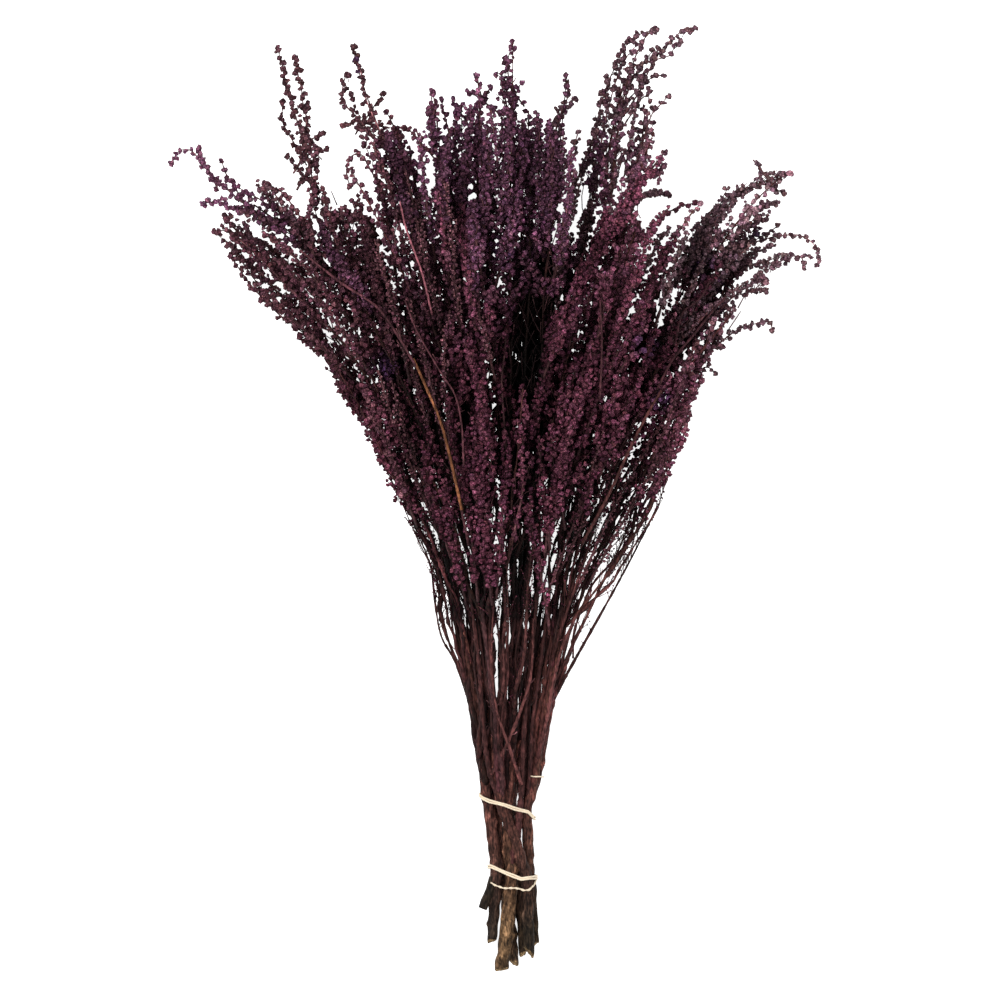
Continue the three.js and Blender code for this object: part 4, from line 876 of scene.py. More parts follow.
def draw_branch(trunk, plan, draw):
    """A branch's first points, from its fork to its tip, and the share of it that is bare."""
    root, _ = trunk_at(trunk, plan.fork)
    ahead = unit(trunk_at(trunk, plan.fork + FORK_LEAD)[0] - root)
    tip = np.array(plan.tip, float)
    straight = root + ahead * ELBOW_SHARE * np.linalg.norm(tip - root)
    elbow = np.array(plan.elbow or straight.tolist(), float)
    knee = np.array(plan.knee, float)
    t = np.linspace(0, 1, SAMPLES)[:, None]
    points = (1 - t) ** 3 * root + 3 * (1 - t) ** 2 * t * elbow + 3 * (1 - t) * t**2 * knee + t**3 * tip
    phase_x = draw() * 2 * math.pi
    phase_z = draw() * 2 * math.pi
    t = t[:, 0]
    swing = SWAY * 4 * t * (1 - t)
    points[:, 0] += swing * np.sin(phase_x + SWAY_TURNS[0] * t)
    points[:, 2] += swing * np.sin(phase_z + SWAY_TURNS[1] * t)
    return points, plan.bare + BARE_SPREAD * (draw() - 0.5)


def trunk_balls(trunks):
    """Balls up all trunks, which stay where they are: places, radii and stems."""
    rows = []
    for s, trunk in enumerate(trunks):
        for y in np.arange(trunk[0][1], TRUNK_TOP + 0.001, TRUNK_BALL_STEP):
            rows.append((*trunk_at(trunk, y), s))
    points, reaches, stems = zip(*rows)
    return np.array(points), reaches, stems


def kept_apart(reach, stem, owner, order):
    """The pairs of balls that have to stay apart, and how far."""
    a, b = np.triu_indices(len(reach), 1)
    both_trunk = (owner[a] < 0) & (owner[b] < 0)
    near_fork = (owner[a] < 0) | (owner[b] < 0) | (np.minimum(order[a], order[b]) < FORK_SAMPLES)
    same = (stem[a] == stem[b]) & ((owner[a] == owner[b]) | near_fork)
    keep = ~(same | both_trunk)
    a, b = a[keep], b[keep]
    return a, b, reach[a] + reach[b] + STEM_GAP


def pushes(balls, a, b, room):
    """How far each ball is pushed from those that it is too near to."""
    apart = balls[a] - balls[b]
    distance = np.linalg.norm(apart, axis=1)
    hit = distance < room
    push = apart[hit] * (0.5 * (room[hit] - distance[hit]) / np.maximum(distance[hit], 0.1))[:, None]
    total = np.zeros_like(balls)
    np.add.at(total, a[hit], push)
    np.add.at(total, b[hit], -push)
    return total


def settle(trunks, branches):
    """Pushes branches apart where they would cross, all at once, round by round."""
    fixed, fixed_reach, fixed_stem = trunk_balls(trunks)
    count = len(fixed)
    moving = np.array([branch["points"] for branch in branches])
    each = np.tile(np.arange(SAMPLES), len(branches))
    share = np.arange(SAMPLES) / (SAMPLES - 1)
    leafy = np.array([share >= branch["bare"] - BARE_OVERLAP for branch in branches])
    margin = np.where(leafy, LEAFY_MARGIN, BARE_MARGIN)
    ease = np.concatenate([np.zeros(count), np.minimum(1, each / EASE_SAMPLES)])
    a, b, room = kept_apart(
        np.concatenate([fixed_reach, np.where(leafy, PLUME_REACH, BRANCH_ROOT_R).ravel()]),
        np.concatenate([fixed_stem, np.repeat([branch["stem"] for branch in branches], SAMPLES)]),
        np.concatenate([np.full(count, -1), np.repeat(np.arange(len(branches)), SAMPLES)]),
        np.concatenate([np.zeros(count), each]))
    for turn in range(SETTLE_ROUNDS):
        balls = np.concatenate([fixed, moving.reshape(-1, 3)])
        if turn % RECHECK_ROUNDS == 0:
            close = np.linalg.norm(balls[a] - balls[b], axis=1) < room + NEARBY
            near = (a[close], b[close], room[close])
        total = (pushes(balls, *near) * ease[:, None])[count:].reshape(moving.shape)
        after = np.concatenate([total[:, 2:], total[:, -1:]], axis=1)
        moving[:, 1:] += 0.5 * total[:, 1:] + 0.25 * total[:, :-1] + 0.25 * after
        moving[:, 1:, 2] = np.maximum(moving[:, 1:, 2], LOWEST_AXIS)
        moving[:, 1:, 0] = kept_in_fan(moving[:, 1:], margin[:, 1:])
    for branch, points in zip(branches, moving):
        branch["points"] = points


def kept_in_fan(points, margin):
    """The x of each point, drawn in where the lower fan would stand out past its edge."""
    y, left, right = np.array(FAN_EDGES, float).T
    low = np.interp(points[..., 1], y, left) + margin
    high = np.interp(points[..., 1], y, right) - margin
    inside = (points[..., 1] >= y[0]) & (points[..., 1] < y[-1])
    return np.where(inside, np.clip(points[..., 0], low, high), points[..., 0])


def smooth_line(points, per_segment=8):
    """A smooth dense line through the points."""
    p = np.asarray(points, float)
    p = np.vstack([2 * p[0] - p[1], p, 2 * p[-1] - p[-2]])
    t = np.arange(per_segment)[:, None] / per_segment
    rows = []
    for k in range(1, len(p) - 2):
        m0 = 0.5 * (p[k + 1] - p[k - 1])
        m1 = 0.5 * (p[k + 2] - p[k])
        rows.append((2 * t**3 - 3 * t**2 + 1) * p[k] + (t**3 - 2 * t**2 + t) * m0
                    + (3 * t**2 - 2 * t**3) * p[k + 1] + (t**3 - t**2) * m1)
    return np.vstack(rows + [p[-2][None]])


class Line:
    """A line with its length, read at distances along it."""

    def __init__(self, points):
        self.points = points
        steps = np.linalg.norm(np.diff(points, axis=0), axis=1)
        self.arc = np.concatenate([[0], np.cumsum(steps)])
        self.length = self.arc[-1]

    def at(self, s):
        return np.stack([np.interp(s, self.arc, self.points[:, i]) for i in range(3)], axis=-1)

    def tangent(self, s):
        ahead = self.at(np.minimum(s + TANGENT_REACH, self.length))
        return unit(ahead - self.at(np.maximum(s - TANGENT_REACH, 0)))

    def where_y(self, y):
        """The distance along the line at which it first passes height y."""
        return self.arc[int(np.argmax(self.points[:, 1] >= y))]


def outward(tangents, turns):
    """A direction square to each tangent, turned round it."""
    side = unit(np.cross(tangents, (0, 0, 1)))
    up = np.cross(side, tangents)
    return side * np.cos(turns)[..., None] + up * np.sin(turns)[..., None]


def side_twigs(line, starts, lengths, tilts, rng, count=TWIG_POINTS, phase=0.0):
    """Side twigs that lean forward and bend along the branch, as arrays of points."""
    turns = phase + GOLDEN_ANGLE * np.arange(len(starts)) + rng.normal(0, TURN_SPREAD, len(starts))
    root = line.at(starts)
    ahead = line.tangent(starts)
    out = outward(ahead, turns)
    t = np.linspace(0, 1, count)[None, :, None]
    tilt = tilts[:, None, None]
    lean = ahead[:, None] * np.cos(tilt) + out[:, None] * np.sin(tilt)
    bend = ahead[:, None] * TWIG_RISE - out[:, None] * TWIG_DROOP
    twigs = root[:, None] + lengths[:, None, None] * (lean * t + bend * t**2)
    wobble = rng.normal(0, 1, (len(starts), 1, 3)) * TWIG_WOBBLE * lengths[:, None, None]
    return twigs + wobble * np.sin(math.pi * t)


class Growth:
    """What one stem carries: twigs of several widths, and tufts."""

    def __init__(self):
        self.twigs = []
        self.tufts = []
        self.layer = MIDDLE

    def add_twigs(self, points, root_r, tip_r, tint, sides=3, rough=0.15):
        if len(points):
            self.twigs.append((points, root_r, tip_r, tint, sides, rough, self.layer))

    def standing(self, twigs):
        """The twigs that don't end outside; those of the front plumes all stay."""
        return twigs if self.layer == FRONT else twigs[~outside(twigs[:, -1])]

    def add_tufts(self, centres, sizes, shade, tint=None):
        n = len(centres)
        tints = tint_at(centres) if tint is None else np.broadcast_to(tint, (n, 3))
        self.tufts.append((centres, sizes, tints * np.reshape(shade, (-1, 1)), np.full(n, self.layer)))

    def tuft_rows(self):
        return [np.concatenate(column) for column in zip(*self.tufts)]


def tufts_along(twigs, step, size, shade, growth, rng, start=0.3, offset=0.85, tint=None):
    """Tufts on short stalks up each twig, alternately to its sides, and one at its tip."""
    if not len(twigs):
        return
    counts = twig_steps(twigs, step)
    for n in np.unique(counts):
        group = twigs[counts == n]
        t = start + (1 - start) * (np.arange(n) + 1) / n
        t = np.clip(t + rng.normal(0, TUFT_JITTER, (len(group), n)), 0, 1)
        places = t * (twigs.shape[1] - 1)
        low = np.minimum(places.astype(int), twigs.shape[1] - 2)
        share = (places - low)[..., None]
        rows = np.arange(len(group))[:, None]
        centres = group[rows, low] * (1 - share) + group[rows, low + 1] * share
        ahead = unit(group[rows, low + 1] - group[rows, low])
        turns = rng.uniform(0, 2 * math.pi, (len(group), 1)) + np.arange(n) * TUFT_TURN
        sizes = size * rng.uniform(*TUFT_SIZES, (len(group), n)) * (TUFT_TAPER[0] - TUFT_TAPER[1] * t)
        reach = sizes * offset * np.where(np.arange(n) == n - 1, LAST_OFFSET, 1)
        centres = centres + outward(ahead, turns) * reach[..., None]
        growth.add_tufts(centres.reshape(-1, 3), sizes.ravel(), shade, tint)


def twig_steps(twigs, step):
    """How many tufts fit up each twig."""
    lengths = np.linalg.norm(np.diff(twigs, axis=1), axis=2).sum(axis=1)
    return np.maximum(1, np.round(lengths / step)).astype(int)


def envelope(share, blunt):
    """How long side twigs are along a plume: short at its foot, and narrowing to its tip."""
    foot = np.clip(FOOT_LENGTH + FOOT_GROWTH * share, 0, 1)
    body = BODY_LENGTH - (BODY_TAPER - BLUNTER_BY * blunt) * share
    tip = np.clip((1 - share) / TIP_SHARE, TIP_LENGTH, 1)
    return foot * body * tip


def grow_plume(line, leafy_from, spread, dense, growth, rng):
    """Side twigs with tufts, from where the branch turns leafy to its tip, and longer sprays among them."""
    leafy = line.length - leafy_from
    shade = np.exp(rng.normal(0, PLUME_SHADES))
    count = int(leafy / (PLUME_STEP - DENSER_BY * dense))
    share = (np.arange(count) + rng.uniform(*PLUME_JITTER, count)) / count
    lengths = spread * envelope(share, dense) * rng.uniform(*PLUME_LENGTHS, count)
    tilts = rng.normal(TWIG_TILT, TWIG_TILT_SPREAD, count)
    starts = leafy_from + share * (leafy - 3)
    twigs = growth.standing(side_twigs(line, starts, lengths, tilts, rng, phase=rng.uniform(*PHASES)))
    growth.add_twigs(twigs, *PLUME_TWIG, WOOD_TIP)
    tufts_along(twigs, TUFT_STEP, TUFT_RADIUS, shade, growth, rng)
    grow_core(line, leafy_from, shade, growth, rng)
    for _ in range(int(leafy / SPRAY_PITCH)):
        start = leafy_from + rng.uniform(*SPRAY_PLACES) * leafy
        grow_spray(line, start, spread, dense, shade, growth, rng)


def grow_core(line, leafy_from, shade, growth, rng):
    """Tufts close round a plume's own branch, and one at its tip."""
    along = np.arange(leafy_from, line.length, CORE_STEP)
    turns = np.arange(len(along)) * CORE_TURN
    sizes = TUFT_RADIUS * rng.uniform(*CORE_SIZES, len(along))
    centres = line.at(along) + outward(line.tangent(along), turns) * sizes[:, None] * CORE_OFFSET
    growth.add_tufts(centres, sizes, shade)
    tip = line.at(np.array([line.length]))
    growth.add_tufts(tip, np.array([TIP_SIZE * TUFT_RADIUS]), shade)


def grow_spray(line, start, spread, dense, shade, growth, rng):
    """One longer side shoot with its own short twigs."""
    length = spread * rng.uniform(*SPRAY_LENGTHS)
    tilt = np.array([rng.uniform(*SPRAY_TILTS)])
    shoot = side_twigs(line, np.array([start]), np.array([length]), tilt, rng, SPRAY_POINTS,
                       rng.uniform(*PHASES))
    if not len(growth.standing(shoot)):
        return
    growth.add_twigs(shoot, *SPRAY_SHOOT, WOOD_TIP)
    own = Line(shoot[0])
    count = int(length / (SPRAY_STEP - SPRAY_DENSER_BY * dense))
    share = (np.arange(count) + 0.5) / count
    taper = SPRAY_TWIG_TAPER[0] - SPRAY_TWIG_TAPER[1] * share
    lengths = SPRAY_TWIG_LENGTH * spread * taper * rng.uniform(*SPRAY_TWIG_LENGTHS, count)
    starts = (SPRAY_BARE + (1 - SPRAY_BARE) * share) * own.length
    twigs = growth.standing(side_twigs(own, starts, lengths, np.full(count, SPRAY_TWIG_TILT), rng))
    growth.add_twigs(twigs, *SPRAY_TWIG, WOOD_TIP)
    tufts_along(twigs, TUFT_STEP, TUFT_RADIUS, shade, growth, rng)
    tufts_along(shoot, TUFT_STEP, TUFT_RADIUS, shade, growth, rng)


def grow_bare(line, leafy_from, growth, rng):
    """The bare part of a branch carries short spurs and, higher up, thin leafy strings."""
    starts = rng.uniform(*SPUR_PLACES, int(leafy_from / SPUR_PITCH)) * leafy_from
    shortest, longer, rarity = SPUR_LENGTHS
    lengths = shortest + longer * rng.random(len(starts)) ** rarity
    spurs = side_twigs(line, starts, lengths, rng.normal(*SPUR_TILTS, len(starts)), rng, count=SPUR_POINTS)
    growth.add_twigs(spurs, *SPUR, WOOD_TIP)
    low = line.where_y(BRANCH_LEAFY_Y)
    if leafy_from - low > SHORTEST_LEAFY:
        grow_leafy_strings(line, low, leafy_from, *BRANCH_STRINGS, growth, rng)


def grow_leafy_strings(line, low, high, pitch, longest, growth, rng):
    """Short thin twigs with small tufts along a stretch of a stem."""
    starts = np.sort(rng.uniform(low, high, int((high - low) / pitch * 2)))
    lengths = longest * rng.uniform(*STRING_LENGTHS, len(starts))
    strings = growth.standing(side_twigs(line, starts, lengths, rng.normal(*STRING_TILTS, len(starts)), rng))
    growth.add_twigs(strings, *STRING, WOOD_TWIG)
    tufts_along(strings, SMALL_STEP, SMALL_TUFT, STRING_SHADE, growth, rng, start=0.2, offset=0.7)


def bundled(points, trunk, plan, others, rng):
    """A branch's points, drawn down to its trunk just above the upper band, or to another branch's side."""
    foot = BUNDLE_FOOT + rng.uniform(0, BUNDLE_SPREAD)
    centre, radius = trunk_at(trunk, foot)
    turn = rng.uniform(0, 2 * math.pi)
    start = centre + BUNDLE_RING * radius * np.array([math.cos(turn), 0, math.sin(turn)])
    fork = plan.fork
    if len(others) > 2 and rng.random() < FORKED_SHARE:
        foot = rng.uniform(*FORK_ZONE)
        fork = foot
        joints = np.array([line.at(line.where_y(foot)) for line in others])
        later = points[int(np.argmax(points[:, 1] > foot + BUNDLE_JOIN))]
        start = joints[np.linalg.norm(joints - later, axis=1).argmin()]
    join = int(np.argmax(points[:, 1] > fork + BUNDLE_JOIN))
    share = (np.arange(BUNDLE_STEPS) / BUNDLE_STEPS)[:, None]
    lower = start + (points[join] - start) * share
    lower[1:, ::2] += rng.normal(0, BUNDLE_WOBBLE, (BUNDLE_STEPS - 1, 2))
    lower[:, 0] = kept_in_fan(lower, np.full(len(lower), BARE_MARGIN))
    return np.vstack([lower, points[join:]])


def grow_wisp(line, growth, rng):
    """A thin side stem that leaves with the branch and ends lower down, in small tufts."""
    end = rng.uniform(*WISP_ENDS) * line.length
    s = np.linspace(rng.uniform(*WISP_STARTS), end, WISP_SAMPLES)
    points = line.at(s)
    share = (s / end)[:, None]
    aside = np.array([rng.normal(0, WISP_ASIDE[0]), 0, rng.normal(0, WISP_ASIDE[1])])
    across = np.sin(s / WISP_WAVES[0] + aside[0])
    lift = np.sin(s / WISP_WAVES[1] + aside[2])
    wave = np.stack([across, 0 * s, lift], axis=1)
    points = points + aside * share**WISP_CURL + WISP_SWAY * wave * np.minimum(1, 2 * share)
    points[:, 0] = kept_in_fan(points, np.full(len(points), BARE_MARGIN))
    own = Line(points)
    growth.add_twigs(points[None], *WISP, WOOD_TWIG, sides=4, rough=0.25)
    grow_leafy_strings(own, own.where_y(WISP_LEAFY_Y), own.length, *WISP_STRINGS, growth, rng)


def grow_branch(branch, trunk, others, growth, rng):
    """The branch's wood and all it carries."""
    line = Line(smooth_line(bundled(branch["points"], trunk, branch["plan"], others, rng)))
    whole = Line(smooth_line(branch["points"]))
    leafy_from = line.length - (1 - branch["bare"]) * whole.length
    leafy_from = max(leafy_from, line.where_y(rng.uniform(*LOWEST_PLUME)))
    close = np.arange(0, CLOSE_RINGS, RING_STEP)
    s = np.concatenate([close, np.linspace(CLOSE_RINGS, line.length, FAR_RINGS)])
    points = line.at(s)
    radii = np.interp(s / line.length, *BRANCH_TAPER)
    tint = np.array(WOOD_TWIG) * np.exp(rng.normal(0, BRANCH_SHADES)) * (1 + rng.normal(0, BRANCH_HUES, 3))
    growth.add_twigs(points[None], radii, None, tint, sides=6, rough=0.2)
    for _ in range(WISPS):
        grow_wisp(line, growth, rng)
    spread = branch["plan"].spread
    dense = float(np.clip((spread - DENSE_FROM) / DENSE_OVER, 0, 1))
    grow_plume(line, leafy_from, spread, dense, growth, rng)
    grow_bare(line, leafy_from, growth, rng)
    return line


def laid_line(path, cloud, share, lift, sink):
    """A path laid across the bunch on the tufts near it, with a stalk that sinks in at its foot."""
    path = np.array(path, float) - (TRACE_SHIFT, 0)
    heights = np.full(len(path), np.nan)
    for k, place in enumerate(path):
        near = np.hypot(*(cloud[:, :2] - place).T) < REST_REACH
        if near.sum() > ENOUGH_TUFTS:
            heights[k] = np.quantile(cloud[near, 2], share) + lift
    known = np.flatnonzero(~np.isnan(heights))
    if len(known):
        heights = np.interp(np.arange(len(path)), known, heights[known])
    heights = np.nan_to_num(heights, nan=USUAL_HEIGHT)
    padded = np.concatenate([heights[:1], heights, heights[-1:]])
    heights = 0.25 * padded[:-2] + 0.5 * padded[1:-1] + 0.25 * padded[2:]
    back = unit(path[0] - path[1])
    stalk = [(*(path[0] + back * reach), heights[0] - drop) for reach, drop in sink]
    return Line(smooth_line(np.vstack([stalk, np.column_stack([path, heights])]), LAID_STEPS))


def grow_front_plume(width, tint, bright, path, cloud, growth, rng):
    """A dense plume in front: a thick rope of tufted side twigs that lean up it."""
    line = laid_line(path, cloud, *FRONT_LAID)
    leafy = line.length - FRONT_START
    growth.add_twigs(line.points[None], *FRONT_STALK, WOOD_TIP, sides=4)
    pitch = FRONT_CLOSENESS / width
    count = int(leafy / pitch)
    share = (np.arange(count) + rng.uniform(0, 1, count)) / count
    taper = np.clip(0.35 + 3.0 * (1 - share), 0, 1) * np.clip(0.6 + 3 * share, 0, 1)
    tilts = rng.normal(*FRONT_TILTS, count)
    lengths = FRONT_LENGTH * width * taper * rng.uniform(*FRONT_LENGTHS, count)
    lengths = np.minimum(lengths, FRONT_OVERHANG + 1.05 * (1 - share) * leafy)
    starts = FRONT_START + share * (leafy - 2)
    twigs = side_twigs(line, starts, lengths, tilts, rng, phase=rng.uniform(*PHASES))
    growth.add_twigs(twigs, *STALKED_TWIG, WOOD_TIP)
    if tint is TAN:
        tufts_along(twigs, FINE_STEP, FINE_TUFT, bright, growth, rng, start=0.1, tint=tint)
    else:
        tufts_along(twigs, FRONT_STEP, FRONT_TUFT, bright, growth, rng, start=0.15, tint=tint)


def grow_back_plume(width, tint, bright, height, path, growth, rng):
    """A wide loose plume low down, which shows as dark depth between the others; the dark ones are painted
    shade.
    """
    line = Line(smooth_line([(x, y, height) for x, y in path], LAID_STEPS))
    growth.add_twigs(line.points[None], *BACK_STALK, WOOD_TWIG, sides=4)
    count = int(line.length * width / BACK_CLOSENESS)
    share = (np.arange(count) + rng.uniform(0, 1, count)) / count
    lengths = width * np.clip(2.2 * (1 - share) + 0.25, 0, 1) * rng.uniform(*BACK_LENGTHS, count)
    starts = share * (line.length - 2)
    twigs = growth.standing(side_twigs(line, starts, lengths, rng.normal(*BACK_TILTS, count), rng))
    growth.add_twigs(twigs, *STALKED_TWIG, WOOD_TWIG)
    size = DEEP_TUFT if tint is DARK_DYE_AND_SHADE else BACK_TUFT
    tufts_along(twigs, BACK_STEP, size, bright, growth, rng, tint=tint)


def grow_edge_spray(width, tint, bright, path, cloud, growth, rng):
    """A thin spray at the edge of the bunch: tufts to left and right of a fine shoot."""
    line = laid_line(path, cloud, *EDGE_LAID)
    growth.add_twigs(line.points[None], *SPRAY_SHOOT, WOOD_TIP, sides=4)
    count = max(4, int(line.length / EDGE_STEP))
    share = (np.arange(count) + rng.uniform(0.2, 0.8, count)) / count
    lengths = width * rng.uniform(*EDGE_LENGTHS, count) * np.clip(1.6 * (1 - share) + 0.5, 0, 1.2)
    twigs = side_twigs(line, share * line.length, lengths, rng.normal(*EDGE_TILTS, count), rng,
                       phase=rng.uniform(*PHASES))
    growth.add_twigs(twigs, *EDGE_TWIG, WOOD_TIP)
    clusters(twigs, bright, tint, growth, rng)
    clusters(line.points[None, -2:], bright, tint, growth, rng)


def clusters(twigs, bright, tint, growth, rng):
    """Pointed clusters up each twig and at its tip."""
    lengths = np.linalg.norm(twigs[:, -1] - twigs[:, 0], axis=1)
    for share in CLUSTER_PLACES:
        held = twigs[lengths > (1.0 - share) * CLUSTER_TWIG]
        if not len(held):
            continue
        places = share * (held.shape[1] - 1)
        low = min(int(places), held.shape[1] - 2)
        centres = held[:, low] + (held[:, low + 1] - held[:, low]) * (places - low)
        size = rng.uniform(*CLUSTER_SIZES, len(centres))
        for _ in range(2):
            apart = unit(rng.normal(size=centres.shape)) * CLUSTER_APART * size[:, None]
            growth.add_tufts(centres + apart, EDGE_TUFT * size, bright, tint)


def grow_fork(points, root_r, tip_r, tufted, growth, rng):
    """A thick lower fork or a thin stray stem."""
    line = Line(smooth_line(points, 12))
    growth.add_twigs(line.points[None], root_r, tip_r, WOOD_TWIG, sides=7, rough=0.14)
    grow_bare(line, line.length * 0.9, growth, rng)
    if tufted:
        grow_leafy_strings(line, 0.5 * line.length, line.length, *FORK_STRINGS, growth, rng)


def tube(points, radii, sides):
    """Tubes about many lines at once, points (n, m, 3) and radii (n, m): vertices by line, and triangles."""
    n, m = points.shape[:2]
    ahead = unit(np.gradient(points, axis=1))
    side = unit(np.cross(ahead, (0, 0, 1)))
    up = np.cross(side, ahead)
    angles = np.arange(sides) * 2 * math.pi / sides
    ring = side[:, :, None] * np.cos(angles)[:, None] + up[:, :, None] * np.sin(angles)[:, None]
    vertices = points[:, :, None] + ring * radii[:, :, None, None]
    fan = np.arange(1, sides - 1)
    start_cap = np.stack([np.zeros_like(fan), fan + 1, fan], axis=-1)
    end_cap = np.stack([np.zeros_like(fan), fan, fan + 1], axis=-1) + (m - 1) * sides
    faces = np.concatenate([ring_faces(m - 1, sides, m * sides), start_cap, end_cap])
    return vertices.reshape(n, m * sides, 3), faces


def ring_faces(rings, sides, total):
    """Triangles from each of so many rings to the next one, and past the last vertex to the first ring."""
    k = np.arange(rings * sides)
    following = k - k % sides + (k + 1) % sides
    above = (following + sides) % total
    return np.stack([k, following, above, k, above, (k + sides) % total], axis=-1).reshape(-1, 3)


def repeat_faces(faces, n, stride):
    """The faces of n equal shapes laid one after another, each with stride vertices."""
    return (faces[None] + (np.arange(n) * stride)[:, None, None]).reshape(-1, 3)


def make_piece(name, vertices, faces, tints, uv, material, node):
    """One mesh object in metres, with its colour on its vertices and its map, standing for a CAD node."""
    mesh = bpy.data.meshes.new(name)
    mesh.vertices.add(len(vertices))
    places = np.clip((vertices + SHIFT) * MM, ROOM_LOW, ROOM_HIGH)
    mesh.vertices.foreach_set("co", places.astype(np.float32).ravel())
    mesh.loops.add(3 * len(faces))
    mesh.loops.foreach_set("vertex_index", faces.astype(np.int32).ravel())
    mesh.polygons.add(len(faces))
    mesh.polygons.foreach_set("loop_start", np.arange(0, 3 * len(faces), 3, dtype=np.int32))
    mesh.polygons.foreach_set("use_smooth", np.ones(len(faces), bool))
    mesh.update(calc_edges=True)
    colours = mesh.attributes.new("tint", "FLOAT_COLOR", "POINT")
    rgba = np.concatenate([tints, np.ones((len(tints), 1))], axis=1)
    colours.data.foreach_set("color", rgba.astype(np.float32).ravel())
    layer = mesh.uv_layers.new(name="OFBake")
    layer.data.foreach_set("uv", uv[faces.ravel()].astype(np.float32).ravel())
    mesh.materials.append(material)
    piece = bpy.data.objects.new(name, mesh)
    bpy.context.scene.collection.objects.link(piece)
    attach(piece, "root")
    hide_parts(node)
    "rubber" if "band" in node else "plant"


def tint_at(points):
    """The dye's colour at each point, from the patches round it and the pooled spots."""
    weights = np.stack([np.exp(-((points[:, 0] - x) ** 2 + (points[:, 1] - y) ** 2) / width**2)
                        for x, y, width, _ in TINT_PATCHES], axis=1)
    weights = np.concatenate([weights, np.full((len(points), 1), PLUM_WEIGHT)], axis=1)
    colours = np.array([colour for _, _, _, colour in TINT_PATCHES] + [PLUM])
    tint = weights @ colours / weights.sum(axis=1, keepdims=True)
    for x, y, radius in DYE_SPOTS:
        near = np.exp(-(((points[:, 0] - x) ** 2 + (points[:, 1] - y) ** 2) / radius**2) ** 2)[:, None]
        tint = tint * (1 - SPOT_SHARE * near) + np.array(DYE_BLUE) * SPOT_SHARE * near
    return tint


def brightness(points):
    """The factor of painted light and painted shade at each point, from the patches."""
    total = np.ones(len(points))
    for x, y, width, factor in PAINTED_LIGHT_PATCHES:
        near = np.exp(-((points[:, 0] - x) ** 2 + (points[:, 1] - y) ** 2) / width**2)
        total = total * factor**near
    return total


def icosahedron():
    """Its twelve corners and twenty faces."""
    g = (1 + math.sqrt(5)) / 2
    corners = [(-1, g, 0), (1, g, 0), (-1, -g, 0), (1, -g, 0), (0, -1, g), (0, 1, g),
               (0, -1, -g), (0, 1, -g), (g, 0, -1), (g, 0, 1), (-g, 0, -1), (-g, 0, 1)]
    faces = [(0, 11, 5), (0, 5, 1), (0, 1, 7), (0, 7, 10), (0, 10, 11), (1, 5, 9), (5, 11, 4),
             (11, 10, 2), (10, 7, 6), (7, 1, 8), (3, 9, 4), (3, 4, 2), (3, 2, 6), (3, 6, 8),
             (3, 8, 9), (4, 9, 5), (2, 4, 11), (6, 2, 10), (8, 6, 7), (9, 8, 1)]
    return unit(np.array(corners, float)), np.array(faces)


def octahedron():
    """Its six corners and eight faces."""
    corners = np.array([(1, 0, 0), (-1, 0, 0), (0, 1, 0), (0, -1, 0), (0, 0, 1), (0, 0, -1)], float)
    faces = [(0, 2, 4), (2, 1, 4), (1, 3, 4), (3, 0, 4), (2, 0, 5), (1, 2, 5), (3, 1, 5), (0, 3, 5)]
    return corners * PLAIN_SIZE, np.array(faces)


def tuft_shapes(solid, count, rng):
    """Lumpy little balls: some corners stand out as lobes and the rest lie between them; the lobes get
    painted light and the dips painted shade.
    """
    corners, faces = solid
    lobed = rng.random((count, len(corners))) < 0.5
    reach = np.where(lobed, rng.uniform(*LOBES, lobed.shape), rng.uniform(*DIPS, lobed.shape))
    shapes = corners[None] * reach[..., None]
    return shapes, np.where(lobed, LOBE_PAINTED_LIGHT, DIP_PAINTED_SHADE), faces


def random_turns(count, rng):
    """Rotation matrices spread evenly over all directions."""
    q = unit(rng.normal(size=(count, 4)))
    w, x, y, z = q.T
    rows = [1 - 2 * (y * y + z * z), 2 * (x * y - w * z), 2 * (x * z + w * y),
            2 * (x * y + w * z), 1 - 2 * (x * x + z * z), 2 * (y * z - w * x),
            2 * (x * z - w * y), 2 * (y * z + w * x), 1 - 2 * (x * x + y * y)]
    return np.stack(rows, axis=-1).reshape(-1, 3, 3)


class Openness:
    """How much light reaches a place among the tufts: 1 outside, near 0 deep inside the bunch."""

    CELL = 6.0
    TUFT_SHADE = 0.16
    STEPS = 14
    FROM_ABOVE = 2.0
    FROM_BESIDE = 0.6

    def __init__(self, centres):
        self.low = centres.min(axis=0) - self.CELL
        cells = ((centres - self.low) / self.CELL).astype(int)
        shape = cells.max(axis=0) + 2 + 2 * self.STEPS
        grid = np.zeros(shape)
        np.add.at(grid, tuple((cells + self.STEPS).T), self.TUFT_SHADE)
        core = [slice(self.STEPS, n - self.STEPS) for n in shape]
        self.light = 0
        total = 0
        for step in np.ndindex(3, 3, 3):
            step = np.array(step) - 1
            if not step.any():
                continue
            depth = 0.5 * grid[tuple(core)]
            for k in range(1, self.STEPS):
                moved = (slice(s.start + k * d, s.stop + k * d) for s, d in zip(core, step))
                depth = depth + grid[tuple(moved)]
            weight = self.FROM_ABOVE if step[2] > 0 else self.FROM_BESIDE
            self.light = self.light + weight * np.exp(-depth * np.linalg.norm(step))
            total += weight
        self.light = self.light / total

    def at(self, points):
        """The light at each point, blended between the middles of the cells round it."""
        places = (points - self.low) / self.CELL - 0.5
        places = np.clip(places, 0, np.array(self.light.shape) - 1.001)
        low = places.astype(int)
        share = places - low
        light = 0
        for corner in np.ndindex(2, 2, 2):
            corner = np.array(corner)
            weight = np.prod(np.where(corner, share, 1 - share), axis=-1)
            light = light + weight * self.light[tuple(np.moveaxis(low + corner, -1, 0))]
        return light

    def shade(self, points):
        return DEEP_SHADE + (1 - DEEP_SHADE) * self.at(points) ** DEEP_POWER


